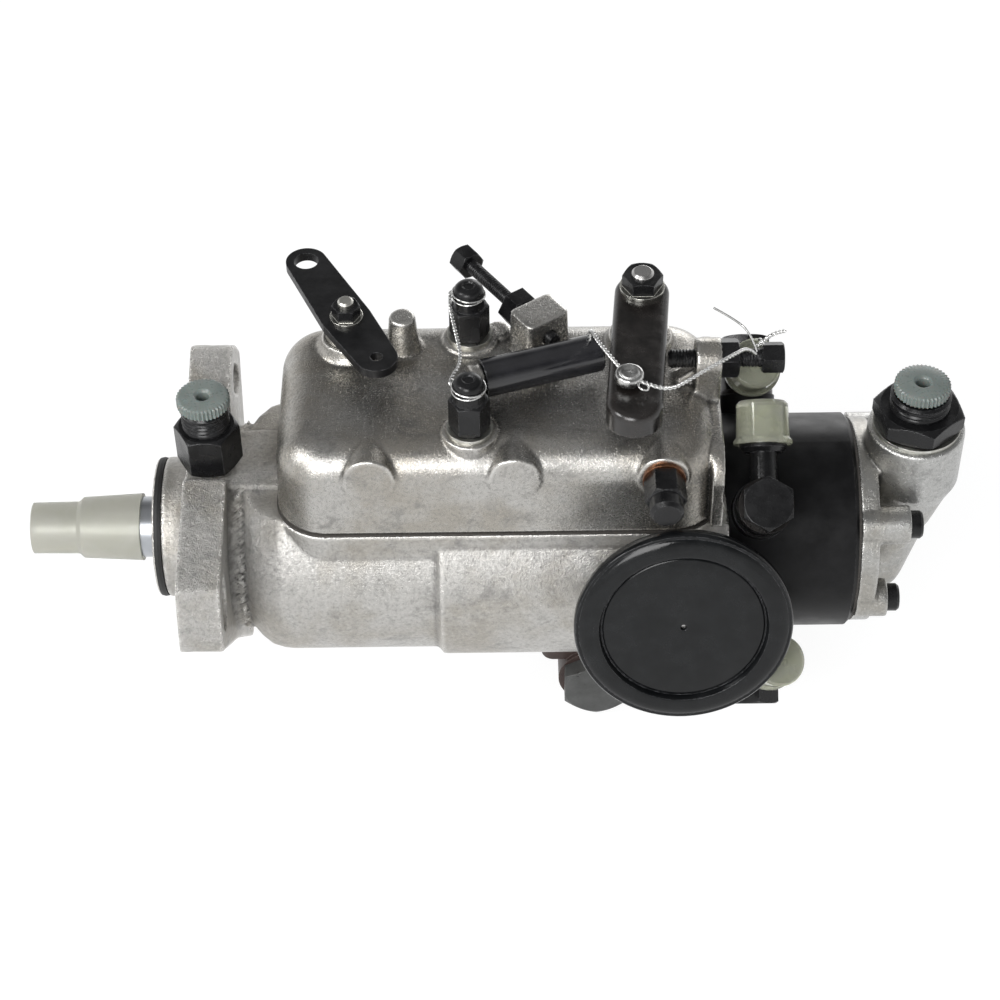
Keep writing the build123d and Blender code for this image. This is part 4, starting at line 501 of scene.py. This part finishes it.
CAST = cast_metal("cast_alloy", (0.49, 0.48, 0.46), 0.31, 0.85, 0.6, 0.22, rough_zone=FLANGE_ROUGHNESS)
COVER = cast_metal("cover_alloy", (0.45, 0.44, 0.42), 0.23, 0.9, 0.5, 0.09, glint=0.2)
PLATE = cast_metal("plate_alloy", (0.44, 0.44, 0.43), 0.27, 0.9, 0.5, 0.12, wear=0.35)
BLACK = black_finish("black_oxide", (0.006, 0.006, 0.0065), 0.24, edge_mm=0.35)
NUT = black_finish("nut_and_washer", (0.006, 0.006, 0.0065), 0.24, edge_mm=0.3, zinc_bands=NUT_ZINC)
LEVER = black_finish("lever_black", (0.0045, 0.0045, 0.005), 0.36, edge_mm=0.4, wear=0.6)
ARM = black_finish(
    "arm_brown", (0.008, 0.007, 0.0065), 0.22, worn=(0.3, 0.28, 0.26), wear=0.9,
    sheen=(0.022, 0.018, 0.016), shine=0.6)
HEAD = black_finish(
    "black_head", (0.0055, 0.0055, 0.006), 0.36, grain_mm=0.8, depth_mm=0.012, wear=0.3, shine=0.18)
SLEEVE = black_finish(
    "sleeve_black", (0.008, 0.008, 0.010), 0.14, worn=(0.25, 0.25, 0.26), edge_mm=0.4, depth_mm=0.01,
    wear=0.9, shine=0.75)
CAPSULE = black_finish(
    "capsule_black", (0.004, 0.0045, 0.005), 0.16, worn=(0.16, 0.16, 0.17), edge_mm=0.25, depth_mm=0.01,
    wear=0.7, shine=0.28)
BROWN = black_finish("brown_casting", (0.04, 0.027, 0.024), 0.40, worn=(0.22, 0.18, 0.16), depth_mm=0.04)
GREY_PLUG = black_finish("grey_plug", (0.05, 0.051, 0.05), 0.32, worn=(0.3, 0.3, 0.29))
STEEL_X = turned_metal("turned_steel_x", (0.62, 0.61, 0.60), 0.26, 0)
SHAFT = turned_metal("shaft_steel", (0.50, 0.52, 0.55), 0.3, 0, rings=0.15)
STEEL_Z = turned_metal("turned_steel_z", (0.58, 0.57, 0.56), 0.28, 2)
STEEL_Y = turned_metal("turned_steel_y", (0.56, 0.55, 0.54), 0.28, 1)
ZINC = turned_metal("zinc_steel_z", (0.70, 0.69, 0.64), 0.3, 2)
BRONZE = turned_metal("bronze", (0.62, 0.42, 0.2), 0.34, 0)
WASHERS = washer_metal("washers")
LEAD = soft_metal("lead", (0.62, 0.62, 0.61), 0.2, dark=0.4, lump_mm=2.0, depth_mm=0.08)
WIRE = soft_metal("bright_wire", (0.85, 0.85, 0.84), 0.2, dark=0.7, lump_mm=1.0, depth_mm=0.02)
RUBBER = rubber_like("rubber", (0.012, 0.012, 0.012), 0.6)
PAPER = rubber_like("gasket_paper", (0.05, 0.045, 0.04), 0.75)
CLEAR_CAP = moulded_plastic("clear_cap", (0.93, 0.94, 0.81), 0.08, 0.78, (0.87, 0.90, 0.64))
SHAFT_CAP = moulded_plastic("shaft_cap", (0.80, 0.79, 0.72), 0.42, 0.70, (0.70, 0.70, 0.60))
GREY_CAP = moulded_plastic("grey_cap", (0.225, 0.255, 0.24), 0.28, 0.06, (0.13, 0.155, 0.145), soft=0.1)

LOOKS = {
    CAST: ["pump_housing"],
    COVER: ["governor_cover"],
    PLATE: ["end_plate"],
    HEAD: ["hydraulic_head"],
    SLEEVE: ["seal_sleeve"],
    LEVER: ["stop_lever"],
    ARM: ["throttle_lever"],
    CAPSULE: ["capsule_cover", "capsule_base"],
    BLACK: [
        "delivery_banjos", "banjo_bolts", "cover_nuts", "adjuster_screws", "adjuster_locknuts", "vent_screw",
        "backleak_union", "inlet_union", "end_plate_screws", "advance_fastenings"],
    NUT: ["stop_lever_nut", "throttle_lever_nut"],
    BROWN: ["advance_housing"],
    GREY_PLUG: ["advance_plugs"],
    SHAFT: ["drive_shaft"],
    STEEL_X: [
        "shaft_key", "weight_carrier", "governor_weight_1", "governor_weight_2", "governor_weight_3",
        "governor_weight_4", "thrust_sleeve", "control_bracket", "governor_arm", "governor_spring",
        "metering_link", "distributor_rotor", "rollers_and_shoes", "cam_ring", "transfer_liner",
        "transfer_rotor", "transfer_blades"],
    STEEL_Z: [
        "throttle_shaft", "cover_studs", "metering_valve", "pump_plungers", "cam_screw", "regulating_piston"],
    STEEL_Y: ["advance_piston", "capsule_diaphragm"],
    ZINC: ["stop_shaft"],
    BRONZE: ["shaft_bush"],
    WASHERS: ["sealing_washers"],
    LEAD: ["lead_seal"],
    WIRE: ["seal_wires"],
    RUBBER: ["o_rings", "shaft_seals"],
    PAPER: ["gaskets"],
    CLEAR_CAP: ["delivery_caps"],
    SHAFT_CAP: ["shaft_cap"],
    GREY_CAP: ["union_plugs"],
}
LOOK_OF = {}
for look, names in LOOKS.items():
    for name in names:
        LOOK_OF[name] = look
        mesh = frame["nodes"][name].data
        mesh.materials.clear()
        mesh.materials.append(look)


# ---------------------------------------------------------------- tools for the detailed pieces
def place_piece(name, mesh, node, sharp=30.0):
    """Puts a detailed mesh in the place of a CAD node: on the same body and with the same look."""
    source = frame["nodes"][node]
    piece = bpy.data.objects.new(name, mesh)
    bpy.context.scene.collection.objects.link(piece)
    mesh.materials.clear()
    mesh.materials.append(LOOK_OF[node])
    mesh.shade_smooth()
    if sharp is not None:
        mesh.set_sharp_from_angle(angle=math.radians(sharp))
    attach(piece, body_of(source)[0])
    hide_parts(node)


class Solids:
    """A mesh made of round, toothed, threaded or many-sided solids, each about its own axis."""

    def __init__(self):
        self.mesh = bmesh.new()

    def add(self, origin, axis, rows, side, count=96):
        """One solid from (height, radius or radius-by-angle) rows that go round its half section."""
        along = Vector(axis).normalized()
        across = (Vector(side) - along * along.dot(Vector(side))).normalized()
        other = along.cross(across)
        rings = []
        for height, radius in rows:
            ring = []
            for step in range(count):
                angle = TURN * step / count
                reach = radius(angle) if callable(radius) else radius
                out = across * math.cos(angle) + other * math.sin(angle)
                point = Vector(origin) + along * height + out * reach
                ring.append(self.mesh.verts.new(point * MM))
            rings.append(ring)
        pairs = list(zip(rings, rings[1:]))
        if rows[0][1] != 0:
            pairs.append((rings[-1], rings[0]))
        for first, second in pairs:
            for step in range(count):
                after = (step + 1) % count
                self.mesh.faces.new((first[step], first[after], second[after], second[step]))

    def bar(self, start, end, first, last):
        """A tapering bar with round ends of these radii."""
        run = Vector(end) - Vector(start)
        steps = 5
        quarter = [TURN / 4 * step / steps for step in range(steps + 1)]
        rows = [(-first * math.cos(angle), first * math.sin(angle)) for angle in quarter]
        rows += [(run.length + last * math.sin(angle), last * math.cos(angle)) for angle in quarter[:-1]]
        rows.append((run.length + last, 0))
        self.add(start, run, rows, (0, 1, 0), 48)

    def finish(self, name, node, sharp=30.0):
        """The piece, in its CAD node's place."""
        bmesh.ops.remove_doubles(self.mesh, verts=self.mesh.verts, dist=1e-7)
        bmesh.ops.recalc_face_normals(self.mesh, faces=self.mesh.faces)
        mesh = bpy.data.meshes.new(name)
        self.mesh.to_mesh(mesh)
        self.mesh.free()
        place_piece(name, mesh, node, sharp)


def cast_skin(node, voxel_mm, shape=None, bars=()):
    """A casting with its edges and corners rounded as sand or a die leaves them."""
    whole = Solids()
    whole.mesh.from_mesh(frame["nodes"][node].data)
    for bar in bars:
        whole.bar(*bar)
    raw = bpy.data.meshes.new(node + "_rough")
    whole.mesh.to_mesh(raw)
    whole.mesh.free()
    rough = bpy.data.objects.new(node + "_rough", raw)
    bpy.context.scene.collection.objects.link(rough)
    remesh = rough.modifiers.new("skin", "REMESH")
    remesh.mode = "VOXEL"
    remesh.voxel_size = voxel_mm * MM
    smooth = rough.modifiers.new("soft", "SMOOTH")
    smooth.factor = 0.5
    smooth.iterations = 4
    graph = bpy.context.evaluated_depsgraph_get()
    mesh = bpy.data.meshes.new_from_object(rough.evaluated_get(graph))
    bpy.data.objects.remove(rough)
    if shape is not None:
        for vertex in mesh.vertices:
            shape(vertex)
    place_piece(node + "_casting", mesh, node, None)


def corner_way(node, origin, axis, low, high, widest=13):
    """Direction of a hexagon's corner in a CAD node, between two heights on its axis."""
    along = Vector(axis).normalized()
    slack = 0.05
    best = None
    for vertex in frame["nodes"][node].data.vertices:
        away = vertex.co / MM - Vector(origin)
        height = away.dot(along)
        if low - slack <= height <= high + slack:
            flat = away - along * height
            if flat.length < widest and (best is None or flat.length > best.length + 1e-4):
                best = flat
    return best or along.orthogonal()


def hexagon(flats, cap=None):
    """Radius of a hexagon with a corner at angle 0, no larger than cap."""
    def reach(angle):
        side = flats / 2 / math.cos(angle % (TURN / 6) - TURN / 12)
        return side if cap is None else min(side, cap)
    return reach


def hex_rows(flats, low, high):
    """Rows up a hexagon whose ends are turned to 30 degree chamfers."""
    slope = math.tan(math.radians(30))
    circle = flats / 2 * 0.965
    rise = (flats / 2 / math.cos(TURN / 12) - circle) * slope
    steps = 6
    heights = [rise * step / steps for step in range(steps + 1)]
    up = [(low + height, hexagon(flats, circle + height / slope)) for height in heights]
    down = [(low + high - height, reach) for height, reach in reversed(up)]
    return up + down


def thread_rows(radius, low, high, pitch, depth):
    """Rows up a screw thread that runs out at both ends."""
    per_turn = 6
    count = max(2, int((high - low) / pitch * per_turn))

    def reach_at(height):
        def reach(angle):
            share = (height / pitch - angle / TURN) % 1.0
            fade = min(1.0, (height - low) / pitch, (high - height) / pitch)
            return radius - depth * abs(2 * share - 1) * max(0.0, fade)
        return reach

    heights = [low + (high - low) * step / count for step in range(count + 1)]
    return [(height, reach_at(height)) for height in heights]


def toothed(radius, depth, teeth=40):
    """Radius of a rim with fine straight teeth."""
    return lambda angle: radius - depth * abs(2 * ((angle * teeth / TURN) % 1.0) - 1)


def smooth_line(points):
    """Points along a curve that passes softly by its guide points."""
    data = bpy.data.curves.new("guide", "CURVE")
    data.dimensions = "3D"
    data.resolution_u = 14
    spline = data.splines.new("NURBS")
    spline.points.add(len(points) - 1)
    for point, place in zip(spline.points, points):
        point.co = (*place, 1)
    spline.order_u = 3
    spline.use_endpoint_u = True
    holder = bpy.data.objects.new("guide", data)
    mesh = bpy.data.meshes.new_from_object(holder)
    line = [Vector(vertex.co) for vertex in mesh.vertices]
    bpy.data.objects.remove(holder)
    bpy.data.curves.remove(data)
    bpy.data.meshes.remove(mesh)
    return line


def evenly(line, step):
    """The same line with points at even steps."""
    out = [line[0].copy()]
    left = step
    for first, second in zip(line, line[1:]):
        run = (second - first).length
        at = 0.0
        while run - at > left:
            at += left
            out.append(first.lerp(second, at / run))
            left = step
        left -= run - at
    out.append(line[-1].copy())
    return out


def frames_along(line):
    """Each point of a line with two directions square to the line there, turned as little as can be."""
    away = (line[1] - line[0]).orthogonal().normalized()
    for index, point in enumerate(line):
        along = (line[min(index + 1, len(line) - 1)] - line[max(index - 1, 0)]).normalized()
        away = (away - along * away.dot(along)).normalized()
        yield point, away, along.cross(away)


def tube(mesh, line, radius):
    """A round wire along a line, closed at both ends."""
    sides = 7
    angles = [TURN * side / sides for side in range(sides)]
    rings = []
    for point, away, other in frames_along(line):
        ring = [point + (away * math.cos(angle) + other * math.sin(angle)) * radius for angle in angles]
        rings.append([mesh.verts.new(corner * MM) for corner in ring])
    for first, second in zip(rings, rings[1:]):
        for side in range(sides):
            after = (side + 1) % sides
            mesh.faces.new((first[side], first[after], second[after], second[side]))
    mesh.faces.new(reversed(rings[0]))
    mesh.faces.new(rings[-1])


def twisted(mesh, points, pitch=3.0):
    """Two bright strands twisted round one another."""
    step = 0.42
    strands = ([], [])
    for index, (point, away, other) in enumerate(frames_along(evenly(smooth_line(points), step))):
        angle = TURN * index * step / pitch
        offset = (away * math.cos(angle) + other * math.sin(angle)) * STRAND_GAP
        strands[0].append(point + offset)
        strands[1].append(point - offset)
    for strand in strands:
        tube(mesh, strand, STRAND_RADIUS)


def loop(mesh, centre, axis, radius, lean):
    """A single strand bent into a ring that is almost closed and leans a little."""
    along = Vector(axis).normalized()
    across = along.orthogonal().normalized()
    other = along.cross(across)
    steps = 32
    sweep = TURN * 0.98
    line = []
    for step in range(steps + 1):
        angle = sweep * step / steps
        out = across * math.cos(angle) + other * math.sin(angle)
        line.append(Vector(centre) + out * radius + along * lean * math.sin(angle))
    tube(mesh, line, STRAND_RADIUS)


# ---------------------------------------------------------------- castings
# the flange and neck along the shaft, and the radius inside which nothing is changed
NECK_START = 2
NECK_END = 34
CORE_RADIUS = 30
WAVE_HIGH = 0.18
WAVES_PER_MM = 0.35
# the moulding seam round the neck: its line and stretch along the shaft, outer radius, top and lumps
SEAM_X = 22.4
SEAM_START = 19.5
SEAM_END = 25.5
SEAM_RADIUS = 38
SEAM_TOP = 30
SEAM_HIGH = 1.9
SEAM_WIDE = 0.8


def flash_seam(vertex):
    """Rough casting: lumps along the neck's moulding seam, and gently wavy lug and neck faces."""
    x, y, z = (c / MM for c in vertex.co)
    reach = math.hypot(y, z)
    if not NECK_START < x < NECK_END or reach < CORE_RADIUS:
        return
    wave = noise.noise(Vector((x, y, z)) * WAVES_PER_MM) * WAVE_HIGH
    if SEAM_START < x < SEAM_END and reach < SEAM_RADIUS and z < SEAM_TOP:
        line = SEAM_X + 0.9 * noise.noise(Vector((math.atan2(z, y) * 5, 3, 0)))
        ridge = math.exp(-((x - line) / SEAM_WIDE) ** 2)
        lumps = max(0.0, 0.15 + 1.5 * noise.noise(Vector((x * 0.9, y * 0.8, z * 0.8))))
        wave += SEAM_HIGH * ridge * lumps
    vertex.co += Vector((0, y, z)).normalized() * wave * MM


# the slanted body's outer web runs on down between the end plate's screws: two ends and their radii
PLATE_WEB = ((236.8, 0, 24), (229.4, 0, -19), 13.6, 10.6)

cast_skin("pump_housing", voxel_mm=0.7, shape=flash_seam)
cast_skin("governor_cover", voxel_mm=0.6)
cast_skin("end_plate", voxel_mm=0.55, bars=(PLATE_WEB,))


# ---------------------------------------------------------------- unions and their plugs
BACKLEAK = (12.3, 0, 0)
INLET = (237.6, 0, 0)
PLUG_DEEP = 12.0
NECK_PITCH = 1.5
NECK_THREAD = 0.6


def add_plug(plugs, origin, top, radius, stem, hole):
    """One serrated shipping plug with a blind hole."""
    rim = toothed(radius, 0.62)
    inner = toothed(radius - 0.5, 0.5)
    plugs.add(origin, UP, (
        (top - PLUG_DEEP, 0), (top - PLUG_DEEP, stem), (top - 4.5, stem), (top - 4.5, radius - 1.6),
        (top - 4.1, inner), (top - 3.6, rim), (top - 0.7, rim), (top - 0.25, inner), (top, radius - 1.5),
        (top, hole + 0.9), (top - 0.35, hole + 0.4), (top - 0.9, hole), (top - 9, hole - 0.2),
        (top - 9, 0)), ALONG_X, 160)


def add_union(name, node, origin, below, flats, hexagon_span, corner_span, neck, above):
    """A union: what is in its casting, a chamfered hexagon and a hollow threaded neck."""
    union = Solids()
    radius, low, high = neck
    rows = below + hex_rows(flats, *hexagon_span) + [(hexagon_span[1], radius - NECK_THREAD)]
    rows += thread_rows(radius, low, high, NECK_PITCH, NECK_THREAD) + above
    union.add(origin, UP, rows, corner_way(node, origin, UP, *corner_span))
    union.finish(name, node)


union_plugs = Solids()
add_plug(union_plugs, BACKLEAK, 58.5, 8.4, 5.15, 2.0)
add_plug(union_plugs, INLET, 60.5, 8.8, 6.15, 2.1)
union_plugs.finish("serrated_plugs", "union_plugs")
add_union(
    "backleak_union_threaded", "backleak_union", BACKLEAK, [(21, 0), (21, 5), (31, 5)], 18.2, (31, 46),
    (34, 43), (7.6, 46.3, 53.2), [(54, 6.9), (54, 5.2), (42, 5.2), (41.5, 0)])
add_union(
    "inlet_union_threaded", "inlet_union", INLET, [(28, 0), (28, 8), (43.5, 8)], 25.4, (43.5, 50.5),
    (43.5, 50.5), (9.6, 50.8, 55.2), [(56, 8.8), (56, 6.2), (42, 6.2), (41.5, 0)])


# ---------------------------------------------------------------- tall nuts
STUD_X = 96
STUD_Y = 21.75
NUT_LOW = 64.2
NUT_HIGH = 75.7
NUT_FLATS = 11.1
NUT_BORE = 4.02


def add_tall_nuts():
    """The cover's two nuts: chamfered hexagon, neck and domed end."""
    nuts = Solids()
    for y in (STUD_Y, -STUD_Y):
        nuts.add((STUD_X, y, 0), UP, (
            [(NUT_LOW, NUT_BORE)] + hex_rows(NUT_FLATS, NUT_LOW, NUT_HIGH) + [
                (NUT_HIGH, 5.05), (76.4, 4.75), (81.2, 4.75), (82.2, 4.5), (83.0, 3.9), (83.4, 3.0),
                (83.5, 2.0), (83.0, 1.6), (83.0, 0), (80.5, 0), (80.5, NUT_BORE)]),
            corner_way("cover_nuts", (STUD_X, y, 0), UP, NUT_LOW, NUT_HIGH), 72)
    nuts.finish("tall_nuts", "cover_nuts")


add_tall_nuts()


# ---------------------------------------------------------------- seal wires
STRAND_RADIUS = 0.33
STRAND_GAP = 0.36
LOOSE_RADIUS = 0.36

SLEEVE_TO_SEAL = (
    (133.2, 3.2, 73.6), (133.2, 3.2, 79.5), (133.6, -1.5, 84.6), (134.6, -8, 87.0), (138, -16, 87.6),
    (142.0, -22.2, 86.6))
SEAL_TO_IDLE_SCREW = (
    (146.0, -26.4, 86.6), (151, -29.6, 86.4), (156.2, -30.6, 86.4), (161, -27.2, 86.4), (166.4, -22.6, 86.4),
    (176.0, -15.0, 86.0), (181.0, -5.8, 80.6), (184.0, -2.2, 74.6))
LONG_END = ((184.8, 0.4, 73.4), (182.7, 2.6, 79.0), (178.2, 5.6, 82.0), (171.2, 6.4, 86.2))
SHORT_END = ((184.9, 1.6, 74.6), (187.4, 2.6, 76.4), (190.2, 3.8, 78.0), (193.4, 2.9, 79.6))
NUT_TO_NUT = (
    (90.3, 22.4, 80.4), (90.0, 17.5, 80.3), (90.9, 11.0, 79.7), (92.2, 3.0, 79.4), (93.6, -5.5, 79.6),
    (93.2, -12.5, 80.2), (90.8, -17.6, 80.5), (90.4, -20.6, 80.5))


def add_wires():
    """The seal's twisted wires, their loose ends, the eyes beside them and the loops round the nuts."""
    wires = bmesh.new()
    twisted(wires, SLEEVE_TO_SEAL)
    twisted(wires, SEAL_TO_IDLE_SCREW)
    loop(wires, (147.9, -29.3, 86.4), (0.2, 0.15, 1), 1.6, 0.3)
    tube(wires, evenly(smooth_line(LONG_END), 0.6), LOOSE_RADIUS)
    twisted(wires, SHORT_END, pitch=2.4)
    loop(wires, (186.2, 1.9, 75.9), (1, 0.3, 0.5), 1.2, 0.4)
    twisted(wires, NUT_TO_NUT)
    for y in (STUD_Y, -STUD_Y):
        loop(wires, (STUD_X, y, 80.4), (0.06, 0.1, 1), 5.15, 0.25)
        loop(wires, (STUD_X, y, 79.7), (-0.05, -0.08, 1), 5.12, -0.2)
    wire_mesh = bpy.data.meshes.new("twisted_wires")
    bmesh.ops.recalc_face_normals(wires, faces=wires.faces)
    wires.to_mesh(wire_mesh)
    wires.free()
    place_piece("twisted_wires", wire_mesh, "seal_wires", 60.0)


add_wires()


# ---------------------------------------------------------------- capsule lid and lead seal
CAPSULE_X = 161
CAPSULE_TILT = math.radians(14)
CAPSULE_OUT = (0, -math.cos(CAPSULE_TILT), math.sin(CAPSULE_TILT))
SEAL = (143.9, -24.8, 84.8)


def add_lid():
    """Pressed lid: rolled edge, domed ring, step down to a flat middle with a vent hole."""
    lid = Solids()
    lid.add((CAPSULE_X, 0, 0), CAPSULE_OUT, (
        (62.9, 0.8), (63.3, 1.1), (63.4, 1.5), (63.4, 12.0), (63.4, 24.3), (63.25, 24.8), (62.85, 25.1),
        (62.85, 25.5), (64.4, 25.95), (64.8, 26.2), (65.0, 26.8), (65.0, 27.6), (64.9, 29.4), (64.55, 31.0),
        (64.05, 31.9), (63.75, 32.3), (63.8, 32.7), (63.75, 33.2), (63.3, 33.6), (62.6, 33.8), (60.9, 33.8),
        (60.1, 33.5), (59.2, 33.1), (59.2, 32.6), (61.6, 32.6), (62.0, 26.6), (61.8, 25.4), (62.2, 24.0),
        (62.2, 0.8)), ALONG_X, 144)
    lid.finish("pressed_lid", "capsule_cover", 38.0)


def add_seal():
    """Lead seal: pressed disc with a raised rim and a struck hollow."""
    seal = Solids()
    seal.add(SEAL, UP, (
        (0, 0), (0, 3.7), (0.3, 4.15), (1.0, 4.4), (2.4, 4.4), (3.1, 4.2), (3.45, 3.8), (3.5, 3.3),
        (3.3, 2.9), (2.9, 2.6), (2.8, 1.6), (2.9, 0.8), (2.95, 0)), ALONG_X, 64)
    seal.finish("struck_seal", "lead_seal", 50.0)


add_lid()
add_seal()


# ---------------------------------------------------------------- adjusting screws
TRIM_HEAD = Vector((95.1, 50.5, 69.5))
TRIM_RUN = Vector((118, 17.5, 69.5)) - TRIM_HEAD
IDLE_LINE = (0, 2, 69.5)
SLEEVE_START = Vector((101, -7, 70.5))
SLEEVE_RUN = Vector((136.5, 4.5, 70.5)) - SLEEVE_START
TRIM_HALF_HEAD = 3.2
IDLE_HEAD_LOW = 186.5
IDLE_HEAD_HIGH = 193.5
SCREW_RADIUS = 3.0


def add_screws():
    """The long trim screw, the idle screw, and the screw inside the sealed sleeve."""
    screws = Solids()
    trim_end = TRIM_RUN.length + 8.5
    screws.add(TRIM_HEAD, TRIM_RUN, (
        [(-TRIM_HALF_HEAD, 0)] + hex_rows(8.4, -TRIM_HALF_HEAD, TRIM_HALF_HEAD) + [(TRIM_HALF_HEAD, 2.0)]
        + thread_rows(2.3, 3.4, TRIM_RUN.length + 8.2, 0.9, 0.35) + [(trim_end, 1.8), (trim_end, 0)]),
        corner_way("adjuster_screws", TRIM_HEAD, TRIM_RUN, -TRIM_HALF_HEAD, TRIM_HALF_HEAD), 48)
    screws.add(IDLE_LINE, ALONG_X, (
        [(157.6, 0), (157.6, 2.2), (158.6, 2.95)] + thread_rows(SCREW_RADIUS, 158.8, 186.2, 1.0, 0.4)
        + [(IDLE_HEAD_LOW, 2.6)] + hex_rows(8.8, IDLE_HEAD_LOW, IDLE_HEAD_HIGH) + [(IDLE_HEAD_HIGH, 0)]),
        corner_way("adjuster_screws", IDLE_LINE, ALONG_X, IDLE_HEAD_LOW, IDLE_HEAD_HIGH), 48)
    sleeve_end = SLEEVE_RUN.length - 1
    screws.add(SLEEVE_START, SLEEVE_RUN, (
        [(-5, 0), (-5, 2.4)] + thread_rows(SCREW_RADIUS, -4.7, SLEEVE_RUN.length - 1.2, 1.0, 0.4)
        + [(sleeve_end, 2.6), (sleeve_end, 0)]), UP, 48)
    screws.finish("threaded_screws", "adjuster_screws")


add_screws()
